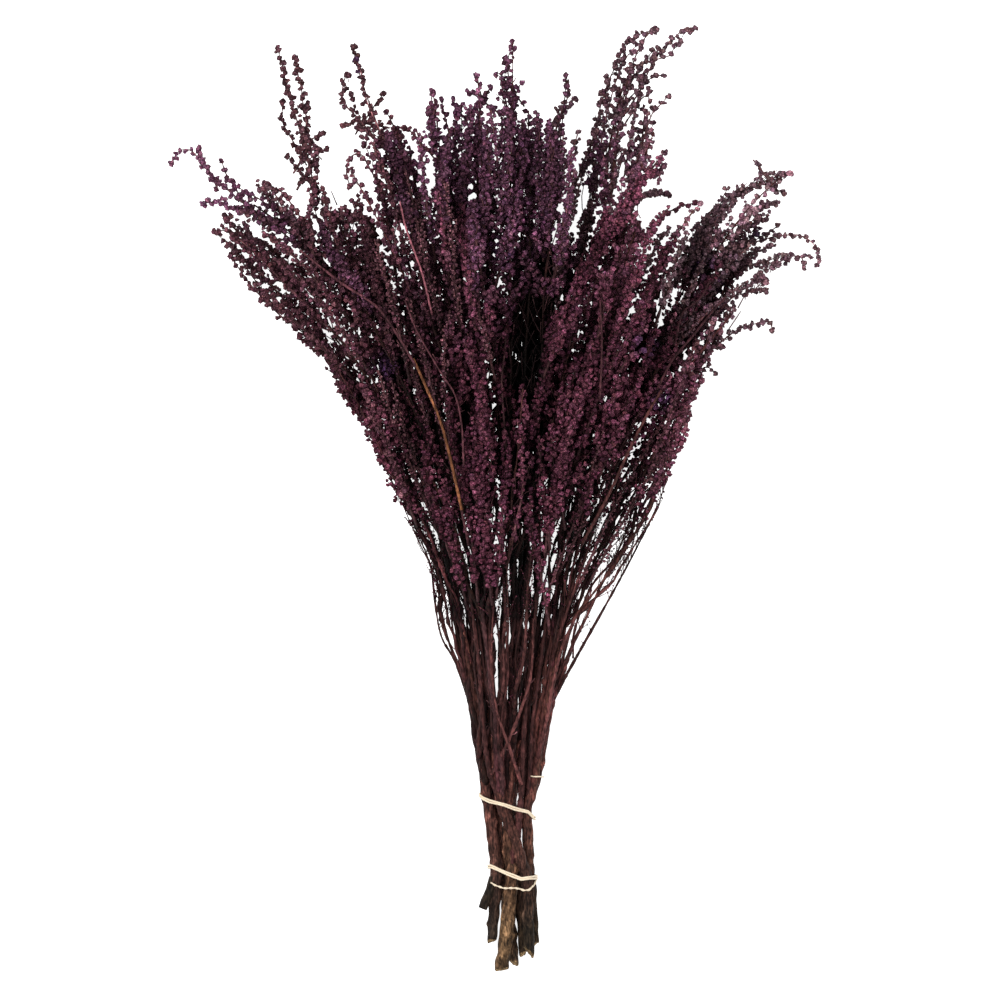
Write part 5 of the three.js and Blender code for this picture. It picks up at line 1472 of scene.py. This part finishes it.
def within(centres, patches):
    """Which places lie in the patches, seen from above."""
    inside = np.zeros(len(centres), bool)
    for x, y, half_width, half_height in patches:
        inside |= ((centres[:, 0] - x) / half_width) ** 2 + ((centres[:, 1] - y) / half_height) ** 2 < 1
    return inside


def outside(places):
    """Which places lie past the edge of the lower fan or in an opening between the plumes."""
    return (kept_in_fan(places, np.full(len(places), 1.0)) != places[:, 0]) | within(places, OPENINGS)


def strays(centres, rng):
    """Which tufts stand outside, or make the uppermost plumes denser than they are."""
    high = np.clip((centres[:, 1] - THIN_FROM[0]) / (THIN_FROM[1] - THIN_FROM[0]), 0, 1)
    return outside(centres) | (rng.random(len(centres)) < THIN_SHARE * high)


def clear_twigs(growth, rng):
    """Thins spurs and slims branches where the bunch is loose, and cuts back branches that end outside."""
    rows = []
    for points, root_r, tip_r, *look, layer in growth.twigs:
        if layer != FRONT and points.shape[1] == SPUR_POINTS:
            ends = points[:, -1]
            thinned = within(ends, LOOSE_PATCHES) & (rng.random(len(ends)) < LOOSE_SPURS)
            points = points[~outside(ends) & ~thinned]
        elif layer != FRONT and len(points) == 1:
            last = end_inside(points[0])
            points = points[:, :last]
            if tip_r is None:
                slim = within(points[0], LOOSE_PATCHES) & (points[0, :, 1] < SLIM_BELOW)
                root_r = root_r[:last] * np.where(slim, SLIM_STEMS, 1.0)
        rows.append((points, root_r, tip_r, *look, layer))
    growth.twigs = rows


def end_inside(line):
    """How many points of a branch to keep so that it ends inside the bunch."""
    inside = np.flatnonzero(~outside(line))
    last = inside[-1] + 1 if len(inside) else 0
    opened = np.flatnonzero(within(line, OPENINGS) & (line[:, 1] > TIPS_FROM))
    if len(opened):
        last = min(last, opened[0])
    return max(last, 4)


def clear_tufts(growths, shown, rng):
    """Takes away what stands outside, fills the deep gaps or covers the branches that show, and paints shade
    on the tufts left deep in the gaps.
    """
    cloud = np.concatenate([growth.tuft_rows()[0] for growth in growths])
    top = SurfaceMap(cloud)
    for growth in growths:
        centres, sizes, tints, layer = growth.tuft_rows()
        gap = within(centres, GAPS) & (layer != FRONT)
        kept = ~(gap & (centres[:, 2] > top.at(centres) - GAP_DEPTH))
        kept &= (layer == FRONT) | ~strays(centres, rng)
        kept &= ~(within(centres, LOOSE_PATCHES) & (rng.random(len(centres)) < LOOSE_SHARE))
        sizes = np.where(layer == MIDDLE, sizes * np.interp(centres[:, 1], *LOW_TUFTS), sizes)
        for line in shown:
            kept &= ~hides(centres, line)
        # Painted shade on the tufts left deep in the gaps
        tints = np.where(gap[:, None], tints * GAP_PAINTED_SHADE, tints)
        growth.tufts = [(centres[kept], sizes[kept], tints[kept], layer[kept])]
        clear_twigs(growth, rng)


class SurfaceMap:
    """The height of the highest tufts over each square of the floor."""

    CELL = 8.0

    def __init__(self, cloud):
        self.low = cloud[:, :2].min(axis=0) - self.CELL
        cells = ((cloud[:, :2] - self.low) / self.CELL).astype(int)
        self.top = np.zeros(cells.max(axis=0) + 2)
        np.maximum.at(self.top, tuple(cells.T), cloud[:, 2])

    def at(self, points):
        cells = ((points[:, :2] - self.low) / self.CELL).astype(int)
        return self.top[tuple(cells.T)]


def hides(centres, line):
    """Which tufts would cover the line from above."""
    across = np.linalg.norm(centres[:, None, :2] - line[None, :, :2], axis=2)
    nearest = across.argmin(axis=1)
    near = across[np.arange(len(centres)), nearest] < CLEAR_WIDTH
    return near & (centres[:, 2] > line[nearest, 2] - 2)


def tuft_piece(name, node, growth, openness, material, rng):
    """All the tufts of one stem: fine ones outside, plain ones in the shade or behind, few deep inside."""
    centres, sizes, tints, layer = growth.tuft_rows()
    light = openness.at(centres)
    kept = (light > HIDDEN) | (layer == BACK) | (rng.random(len(centres)) < HIDDEN_SHARE)
    centres, sizes, tints, layer, light = (v[kept] for v in (centres, sizes, tints, layer, light))
    centres[:, 2] = np.maximum(centres[:, 2], sizes * TUFT_REACH)
    # Painted shade from the bunch's openness, painted light and shade from the patches, and each tuft's own
    # random tone
    own = np.exp(rng.normal(0, TUFT_SHADES, len(centres))) * openness.shade(centres) * brightness(centres)
    tints = tints * own[:, None] * (1 + rng.normal(0, TUFT_HUES, (len(centres), 3)))
    fine = (layer != BACK) & ((light > PLAIN) | (layer == FRONT))
    parts = []
    for chosen, solid in ((fine, icosahedron()), (~fine, octahedron())):
        shapes, lobe_light_and_dip_shade, faces = tuft_shapes(solid, TUFT_SHAPES, rng)
        count = int(chosen.sum())
        kind = rng.integers(0, len(shapes), count)
        turned = np.einsum("nij,nvj->nvi", random_turns(count, rng), shapes[kind])
        vertices = centres[chosen, None] + turned * sizes[chosen, None, None]
        # Painted light on the lobes and painted shade in the dips
        colours = tints[chosen, None] * lobe_light_and_dip_shade[kind][..., None]
        parts.append((vertices, faces, colours, shapes[kind][..., :2]))
    join_tufts(name, node, parts, material)


def join_tufts(name, node, parts, material):
    """One mesh of the fine and the plain tufts, each in its own cell of the map."""
    total = sum(len(part[0]) for part in parts)
    side = math.ceil(math.sqrt(total))
    all_faces, maps = [], []
    made = 0
    offset = 0
    for vertices, faces, _, shape_uv in parts:
        n, stride = vertices.shape[:2]
        maps.append(((map_cells(made, n, side) + 0.5 + MAP_REACH * shape_uv) / side).reshape(-1, 2))
        all_faces.append(repeat_faces(faces, n, stride) + offset)
        made += n
        offset += n * stride
    vertices = np.concatenate([part[0].reshape(-1, 3) for part in parts])
    colours = np.concatenate([part[2].reshape(-1, 3) for part in parts])
    make_piece(name, vertices, np.concatenate(all_faces), np.clip(colours, 0.002, 1),
               np.concatenate(maps), material, node)


def map_cells(first, count, side):
    """The lower corners of the cells of a square map for so many shapes, from the first one on."""
    k = first + np.arange(count)
    return np.stack([k % side, k // side], axis=-1)[:, None]


def seen_twigs(growth, openness):
    """The stem's twigs without the fine ones deep inside, where nothing shows."""
    for points, root_r, tip_r, tint, sides, rough, _ in growth.twigs:
        if len(points) > 1:
            points = points[openness.at(points[:, points.shape[1] // 2]) > HIDDEN]
        if len(points):
            yield points, root_r, tip_r, tint, sides, rough


def twig_piece(name, node, growth, openness, material, rng):
    """All the branches and twigs of one stem."""
    vertices, faces, tints, uv = [], [], [], []
    rows = list(seen_twigs(growth, openness))
    side = math.ceil(math.sqrt(sum(len(points) for points, *_ in rows)))
    made = 0
    offset = 0
    for points, root_r, tip_r, tint, sides, rough in rows:
        n, m = points.shape[:2]
        radii = root_r if tip_r is None else np.linspace(root_r, tip_r, m)
        radii = np.broadcast_to(radii, (n, m)) * np.exp(rng.normal(0, rough, (n, m)))
        points = points.copy()
        points[..., 2] = np.maximum(points[..., 2], radii)
        shape, shape_faces = tube(points, radii, sides)
        across = np.tile(np.arange(sides) / sides, m)
        along = np.repeat(np.arange(m) / (m - 1), sides)
        cell = np.stack([across, along], axis=-1)
        cell = MAP_MARGIN + (1 - 2 * MAP_MARGIN) * cell
        uv.append(((map_cells(made, n, side) + cell) / side).reshape(-1, 2))
        shade = twig_shade(points, sides, openness, rng)
        tints.append((np.array(tint) * shade[..., None]).reshape(-1, 3))
        faces.append(repeat_faces(shape_faces, n, m * sides) + offset)
        vertices.append(shape.reshape(-1, 3))
        offset += n * m * sides
        made += n
    make_piece(name, *(np.concatenate(part) for part in (vertices, faces, tints, uv)), material, node)


def twig_shade(points, sides, openness, rng):
    """How light each vertex of the twigs is: every twig by its own draw, and in the bunch's own light."""
    n, m = points.shape[:2]
    own = np.exp(rng.normal(0, TWIG_SHADES, (n, 1))) * np.exp(rng.normal(0, VERTEX_SHADES, (n, m * sides)))
    flat = points.reshape(-1, 3)
    # Painted shade from the bunch's openness, and painted light and shade from the patches
    light = openness.shade(flat) ** WOOD_SHADE * brightness(flat)
    return own * np.repeat(light, sides).reshape(n, m * sides)


def bark_piece(name, node, trunk, material, rng):
    """The stem's thick lower part: ridged knotty bark on a tapered rod with a slanted, ragged cut end."""
    line = Line(smooth_line([row[:3] for row in trunk], 12))
    s = np.linspace(0, line.length, int(line.length / BARK_STEP))
    points = line.at(s)
    height = points[:, 1]
    radii = np.array([trunk_at(trunk, y)[1] for y in height])
    radii = radii * np.interp(height, (BARK_TAPER_FROM, TRUNK_TOP), (1, TRUNK_TOP_SHARE))
    for axis in (0, 2):
        for pitch in TRUNK_BENDS:
            points[:, axis] += TRUNK_BEND * np.sin(s * 2 * math.pi / pitch + rng.uniform(*BARK_PHASES))
    low, middle = np.array(FOOT_TINTS[node]), np.array(WOOD_MIDDLE)
    base = low + (middle - low) * np.clip((height - FOOT_TINT_TOP) / FOOT_TINT_BLEND, 0, 1)[:, None]
    rods = [bark_rod(points, radii, s, base, rng)]
    cut_end(rods[0][0], rods[0][2], radii[0], CUT_SLANTS[node], rng)
    if node == STUB[0]:
        rods.append(stub_rod(low, rng))
    join_rods(name, node, rods, material)


def stub_rod(tint, rng):
    """The short stub that stands off one stem."""
    _, points, root_r, tip_r = STUB
    line = Line(smooth_line(points, 6))
    along = np.linspace(0, line.length, STUB_RINGS)
    radii = np.linspace(root_r, tip_r, STUB_RINGS)
    return bark_rod(line.at(along), radii, along, np.tile(tint, (STUB_RINGS, 1)), rng)


def join_rods(name, node, rods, material):
    """One mesh of a stem's rods of bark."""
    offset = 0
    all_faces = []
    for shape, faces, _, _ in rods:
        all_faces.append(faces + offset)
        offset += shape.size // 3
    vertices = np.concatenate([rod[0].reshape(-1, 3) for rod in rods])
    tints = np.clip(np.concatenate([rod[2].reshape(-1, 3) for rod in rods]), 0.003, 0.6)
    uv = np.concatenate([rod[3] for rod in rods])
    make_piece(name, vertices, np.concatenate(all_faces), tints, uv, material, node)


def bark_rod(points, radii, s, base, rng):
    """A rod with bark relief: vertices by ring, faces, tints and map."""
    angle = np.arange(BARK_SIDES) * 2 * math.pi / BARK_SIDES
    relief = bark_relief(s[:, None], angle[None], rng)
    shape, faces = tube(points[None], radii[None], BARK_SIDES)
    shape = shape.reshape(len(points), BARK_SIDES, 3)
    shape = points[:, None] + (shape - points[:, None]) * (BARK_INSET + relief)[..., None]
    streak = bark_relief(s[:, None] * STREAK_PACE, angle[None], rng) * STREAK_DEPTH
    grain = rng.normal(0, GRAIN_SHADES, relief.shape)
    # Painted light and shade from the patches
    light = brightness(points)[:, None, None]
    # Painted light on raised bark and painted shade in its hollows, with the bark's own streaks and grain
    tints = base[:, None] * np.exp(relief * RELIEF_PAINTED_SHADE + streak + grain)[..., None] * light
    uv = np.stack(np.broadcast_arrays(angle[None] / (2 * math.pi), (s / s[-1])[:, None]), axis=-1)
    return shape, faces, tints, uv.reshape(-1, 2)


def cut_end(shape, tints, radius, slants, rng):
    """Slants and frays the first rings, and shows pale wood at the cut."""
    middle = shape[0].mean(axis=0)
    offset = (shape[0] - middle) / radius
    ragged = rng.normal(0, CUT_RAGGED, BARK_SIDES)
    slant = offset[:, 0] * slants[0] + offset[:, 2] * slants[1] + ragged
    for k, share in enumerate(SLANT_SHARES):
        shape[k, :, 1] += slant * share
    shape[0] = middle + (shape[0] - middle) * CUT_ROUNDING
    tints[0] = np.array(CUT_WOOD) * np.exp(rng.normal(*CUT_SHADES, (BARK_SIDES, 1)))


def bark_relief(s, angle, rng):
    """Height of the bark in shares of the radius: long ridges, lumps and a few knots."""
    relief = np.zeros(np.broadcast(s, angle).shape)
    for _ in range(RIDGES):
        waves = rng.integers(*RIDGES_ROUND)
        pitch = rng.uniform(*RIDGE_LENGTHS)
        relief += BARK_RIDGE * np.sin(waves * angle + s * 2 * math.pi / pitch + rng.uniform(*BARK_PHASES))
    for _ in range(KNOTS):
        place = rng.uniform(*KNOT_PLACES)
        turn = rng.uniform(0, 2 * math.pi)
        width = rng.uniform(*KNOT_WIDTHS)
        bend = np.angle(np.exp(1j * (angle - turn))) * KNOT_SPAN
        relief += rng.uniform(*KNOT_HEIGHTS) * np.exp(-((s - place) ** 2 + bend**2) / width**2)
    return relief


class Recipe:
    """Builds a procedural material step by step."""

    def __init__(self, name, roughness, specular):
        self.material = bpy.data.materials.new(name)
        self.material.use_nodes = True
        tree = self.material.node_tree
        self.nodes, self.links = tree.nodes, tree.links
        self.shader = self.nodes["Principled BSDF"]
        self.shader.inputs["Roughness"].default_value = roughness
        self.shader.inputs["Specular IOR Level"].default_value = specular

    def tint(self):
        node = self.nodes.new("ShaderNodeAttribute")
        node.attribute_name = "tint"
        return node.outputs["Color"]

    def place(self, stretch=(1, 1, 1)):
        coordinates = self.nodes.new("ShaderNodeTexCoord")
        scale = self.nodes.new("ShaderNodeVectorMath")
        scale.operation = "MULTIPLY"
        scale.inputs[1].default_value = stretch
        self.links.new(coordinates.outputs["Object"], scale.inputs[0])
        return scale.outputs["Vector"]

    def noise(self, vector, scale, detail=3):
        node = self.nodes.new("ShaderNodeTexNoise")
        node.inputs["Scale"].default_value = scale
        node.inputs["Detail"].default_value = detail
        self.links.new(vector, node.inputs["Vector"])
        return node.outputs["Fac"]

    def cells(self, vector, scale):
        node = self.nodes.new("ShaderNodeTexVoronoi")
        node.inputs["Scale"].default_value = scale
        self.links.new(vector, node.inputs["Vector"])
        return node.outputs["Distance"]

    def ramp(self, value, low, high, to_low, to_high):
        node = self.nodes.new("ShaderNodeMapRange")
        self.links.new(value, node.inputs["Value"])
        for name, number in zip(("From Min", "From Max", "To Min", "To Max"), (low, high, to_low, to_high)):
            node.inputs[name].default_value = number
        return node.outputs["Result"]

    def scaled(self, colour, factor):
        node = self.nodes.new("ShaderNodeVectorMath")
        node.operation = "SCALE"
        self.links.new(colour, node.inputs[0])
        self.links.new(factor, node.inputs["Scale"])
        return node.outputs["Vector"]

    def bump(self, height, strength, distance):
        node = self.nodes.new("ShaderNodeBump")
        node.inputs["Strength"].default_value = strength
        node.inputs["Distance"].default_value = distance
        self.links.new(height, node.inputs["Height"])
        self.links.new(node.outputs["Normal"], self.shader.inputs["Normal"])

    def paint(self, colour):
        self.links.new(colour, self.shader.inputs["Base Color"])
        return self.material


def tuft_look():
    """Dyed tufts: each a cluster of little round heads, painted lighter in their middles and with painted
    shade between them.
    """
    recipe = Recipe("dyed_tufts", 0.95, 0.02)
    cells = recipe.cells(recipe.place(), 820)
    # Painted light on the middles of the heads and painted shade in the creases between them
    heads = recipe.ramp(cells, 0.15, 0.62, 1.5, 0.34)
    recipe.bump(recipe.ramp(cells, 0.0, 0.7, 1, 0), 0.9, 0.0007)
    return recipe.paint(recipe.scaled(recipe.tint(), heads))


def wood_look(name, fine, low, high):
    """Bark with streaks along the bunch."""
    recipe = Recipe(name, 0.75, 0.1)
    streaks = recipe.noise(recipe.place((1, 0.25, 1)), fine, 5)
    patches = recipe.noise(recipe.place(), fine * 0.2)
    recipe.bump(streaks, 0.8, 0.0006)
    colour = recipe.scaled(recipe.tint(), recipe.ramp(streaks, 0.36, 0.66, low, high))
    return recipe.paint(recipe.scaled(colour, recipe.ramp(patches, 0.3, 0.7, 0.7, 1.35)))


def rubber_look():
    """Cream rubber with a faint mottle."""
    recipe = Recipe("cream_rubber", 0.5, 0.3)
    mottle = recipe.noise(recipe.place(), 900)
    return recipe.paint(recipe.scaled(recipe.tint(), recipe.ramp(mottle, 0.3, 0.7, 0.92, 1.05)))


def band_corners(node):
    """The corners of a CAD band in the bunch's own frame."""
    corners = np.empty(len(node.data.vertices) * 3, np.float32)
    node.data.vertices.foreach_get("co", corners)
    turn = np.array(node.matrix_world)
    return (corners.reshape(-1, 3) @ turn[:3, :3].T + turn[:3, 3]) / MM - SHIFT


def outline(points):
    """The convex outline of points in a plane, in order."""
    points = points[np.lexsort((points[:, 1], points[:, 0]))]
    halves = []
    for run in (points, points[::-1]):
        half = []
        for p in run:
            while len(half) > 1 and cross(half[-1] - half[-2], p - half[-2]) <= 0:
                half.pop()
            half.append(p)
        halves.extend(half[:-1])
    return np.array(halves)


def cross(a, b):
    return a[0] * b[1] - a[1] * b[0]


def band_pieces(frame, material, rng):
    """Round rubber strands along the CAD bands."""
    for index, (name, middle, slope, width, offsets, twists, sag) in enumerate(BAND_LOOPS):
        corners = band_corners(frame["nodes"][name])
        off_plane = corners[:, 1] - middle[1] - slope * (corners[:, 0] - middle[0])
        loop = outline(corners[np.abs(off_plane) < BAND_HALF_DEPTH][:, [0, 2]])
        if name == "side_band":
            loop = loop.mean(axis=0) + (loop - loop.mean(axis=0)) * SIDE_BAND_ROOM
        loop = rounded_loop(loop, width / 2)
        for k, offset in enumerate(offsets):
            line = strand_line(loop, middle, slope, offset, sag, rng)
            strand_piece(f"{name}_{index}_{k}", name, line, width, twists, material, rng)


def rounded_loop(loop, inset):
    """An outline drawn in by an inset, with its corners cut smooth and even steps."""
    for _ in range(4):
        after = np.roll(loop, -1, axis=0)
        loop = np.stack([0.75 * loop + 0.25 * after, 0.25 * loop + 0.75 * after], axis=1).reshape(-1, 2)
    ahead = unit(np.roll(loop, -1, axis=0) - np.roll(loop, 1, axis=0))
    loop = loop + np.stack([-ahead[:, 1], ahead[:, 0]], axis=1) * inset
    closed = np.vstack([loop, loop[:1]])
    arc = np.concatenate([[0], np.cumsum(np.linalg.norm(np.diff(closed, axis=0), axis=1))])
    s = np.linspace(0, arc[-1], BAND_STEPS, endpoint=False)
    return np.stack([np.interp(s, arc, closed[:, i]) for i in (0, 1)], axis=1)


def strand_line(loop, middle, slope, offset, sag, rng):
    """The middle line of one strand, with its upper side off the plane where the photo shows it so."""
    places, lifts = np.array(sag, float).T
    centre = (loop[:, 1].min() + loop[:, 1].max()) / 2
    upper = np.clip((loop[:, 1] - centre) / 4, 0, 1)
    turns = np.arange(BAND_STEPS) / BAND_STEPS * 2 * math.pi * STRAND_WAVES
    wave = STRAND_WAVE * np.sin(turns + rng.uniform(*PHASES))
    y = middle[1] + slope * (loop[:, 0] - middle[0]) + offset + wave
    y = y + upper * np.interp(loop[:, 0], places, lifts)
    return np.stack([loop[:, 0], y, loop[:, 1]], axis=1)


def strand_piece(name, node, points, width, twists, material, rng):
    """One closed strand of rubber, round or twisted."""
    ahead = unit(np.roll(points, -1, axis=0) - np.roll(points, 1, axis=0))
    side = unit(np.cross(ahead, (0, 1, 0)))
    up = np.cross(side, ahead)
    angle = np.arange(STRAND_SIDES) * 2 * math.pi / STRAND_SIDES
    turn = np.arange(BAND_STEPS) / BAND_STEPS * 2 * math.pi * twists
    flat = TWISTED_FLATNESS if twists else 1.0
    a = width / 2 * np.cos(angle)[None]
    b = width / 2 * flat * np.sin(angle)[None]
    across = a * np.cos(turn)[:, None] - b * np.sin(turn)[:, None]
    out = a * np.sin(turn)[:, None] + b * np.cos(turn)[:, None]
    shape = points[:, None] + side[:, None] * across[..., None] + up[:, None] * out[..., None]
    total = BAND_STEPS * STRAND_SIDES
    faces = ring_faces(BAND_STEPS, STRAND_SIDES, total)
    tints = np.broadcast_to(np.array(RUBBER_CREAM), (total, 3)) * rng.uniform(*RUBBER_SHADES, (total, 1))
    along = (np.arange(BAND_STEPS) / BAND_STEPS)[:, None]
    around = (np.arange(STRAND_SIDES) / STRAND_SIDES)[None]
    uv = np.stack(np.broadcast_arrays(along, around), axis=-1).reshape(-1, 2)
    make_piece(name, shape.reshape(-1, 3), faces, tints, uv, material, node)


def draw_branches(names, trunks):
    """All branches of all stems, settled clear of each other."""
    draw = lcg(BRANCH_SEED)
    branches = []
    for s, name in enumerate(names):
        for plan in STEMS[name]["branches"]:
            points, bare = draw_branch(trunks[s], plan, draw)
            branches.append({"stem": s, "points": points, "bare": bare, "plan": plan})
    settle(trunks, branches)
    return branches


def grow_all(names, trunks, rng):
    """What every stem carries: its own branches, and then what lies behind and on top of them."""
    growths = [Growth() for _ in names]
    lines = [[] for _ in names]
    for branch in draw_branches(names, trunks):
        s = branch["stem"]
        lines[s].append(grow_branch(branch, trunks[s], lines[s], growths[s], rng))
    for name, points, root_r, tip_r, tufted in FORKS:
        grow_fork(points, root_r, tip_r, tufted, growths[names.index(name)], rng)
    cloud = np.concatenate([growth.tuft_rows()[0] for growth in growths])
    by_stem = {name.removesuffix("_stem"): growth for name, growth in zip(names, growths)}
    for growth in growths:
        growth.layer = BACK
    for stem, *row in BACK_PLUMES:
        grow_back_plume(*row, by_stem[stem], rng)
    for growth in growths:
        growth.layer = FRONT
    for stem, *row in FRONT_PLUMES:
        grow_front_plume(*row, cloud, by_stem[stem], rng)
    for stem, *row in EDGE_SPRAYS:
        grow_edge_spray(*row, cloud, by_stem[stem], rng)
    shown = []
    for stem, tint, radius, path in SHOWN_BRANCHES:
        line = laid_line(path, cloud, *SHOWN_LAID).points
        by_stem[stem].add_twigs(line[None], radius, 0.8 * radius, tint, sides=7, rough=0.08)
        shown.append(line)
    clear_tufts(growths, shown, rng)
    return growths


def wood_samples(growths):
    """Points along the thicker wood, which shades what lies under it as the tufts do."""
    rows = [row for growth in growths for row in growth.twigs]
    return [points.reshape(-1, 3)[::2] for points, _, _, _, sides, _, _ in rows if sides >= 6]


def build_bunch(frame):
    """All stems with their branches, twigs and tufts, and the bands."""
    names = list(STEMS)
    trunks = [STEMS[name]["trunk"] for name in names]
    rng = np.random.default_rng(SEED)
    growths = grow_all(names, trunks, rng)
    tuft_centres = [growth.tuft_rows()[0] for growth in growths]
    openness = Openness(np.concatenate(tuft_centres + wood_samples(growths)))
    tufts = tuft_look()
    twigs = wood_look("dyed_wood", 900, 0.45, 1.7)
    bark = wood_look("bark", 1100, 0.22, 1.9)
    for s, name in enumerate(names):
        tuft_piece(f"{name}_tufts", name, growths[s], openness, tufts, rng)
        twig_piece(f"{name}_twigs", name, growths[s], openness, twigs, rng)
        bark_piece(f"{name}_bark", name, trunks[s], bark, rng)
    band_pieces(frame, rubber_look(), rng)


def make_camera():
    """A long lens straight above the bunch."""
    data = bpy.data.cameras.new("camera")
    data.lens = LENS
    data.sensor_width = SENSOR
    camera = bpy.data.objects.new("camera", data)
    distance = VIEW_WIDTH * LENS / SENSOR
    camera.location = ((VIEW_MIDDLE[0] + SHIFT[0]) * MM, (VIEW_MIDDLE[1] + SHIFT[1]) * MM,
                       VIEW_HEIGHT_LEVEL + distance)
    data.clip_end = 50
    bpy.context.scene.collection.objects.link(camera)
    bpy.context.scene.camera = camera


def area_light(name, place, size, power):
    """A soft box that faces the bunch."""
    data = bpy.data.lights.new(name, "AREA")
    data.shape = "RECTANGLE"
    data.size = size
    data.size_y = size
    data.energy = power
    light = bpy.data.objects.new(name, data)
    light.location = place
    back = np.array(place) - np.array(LIGHTS_AIM)
    light.rotation_euler = (math.atan2(math.hypot(back[0], back[1]), back[2]), 0,
                            math.atan2(back[1], back[0]) + math.pi / 2)
    bpy.context.scene.collection.objects.link(light)


def make_studio():
    """A pale floor, an even white surround and two soft boxes."""
    bpy.ops.mesh.primitive_plane_add(size=FLOOR_SIZE, location=(0, 0, -FLOOR_DROP))
    floor = bpy.context.active_object
    floor.name = "floor"
    material = bpy.data.materials.new("pale_floor")
    material.use_nodes = True
    shader = material.node_tree.nodes["Principled BSDF"]
    shader.inputs["Base Color"].default_value = (FLOOR_GREY, FLOOR_GREY, FLOOR_GREY, 1)
    shader.inputs["Roughness"].default_value = 0.9
    shader.inputs["Specular IOR Level"].default_value = 0.1
    shader.inputs["Emission Color"].default_value = (1, 1, 1, 1)
    shader.inputs["Emission Strength"].default_value = FLOOR_GLOW
    floor.data.materials.append(material)
    world = bpy.data.worlds.new("surround")
    world.use_nodes = True
    world.node_tree.nodes["Background"].inputs["Color"].default_value = (1, 1, 1, 1)
    world.node_tree.nodes["Background"].inputs["Strength"].default_value = SURROUND
    bpy.context.scene.world = world
    for light in LIGHTS:
        area_light(*light)


build_bunch(frame)
make_camera()
make_studio()
bpy.context.scene.view_settings.view_transform = "Standard"
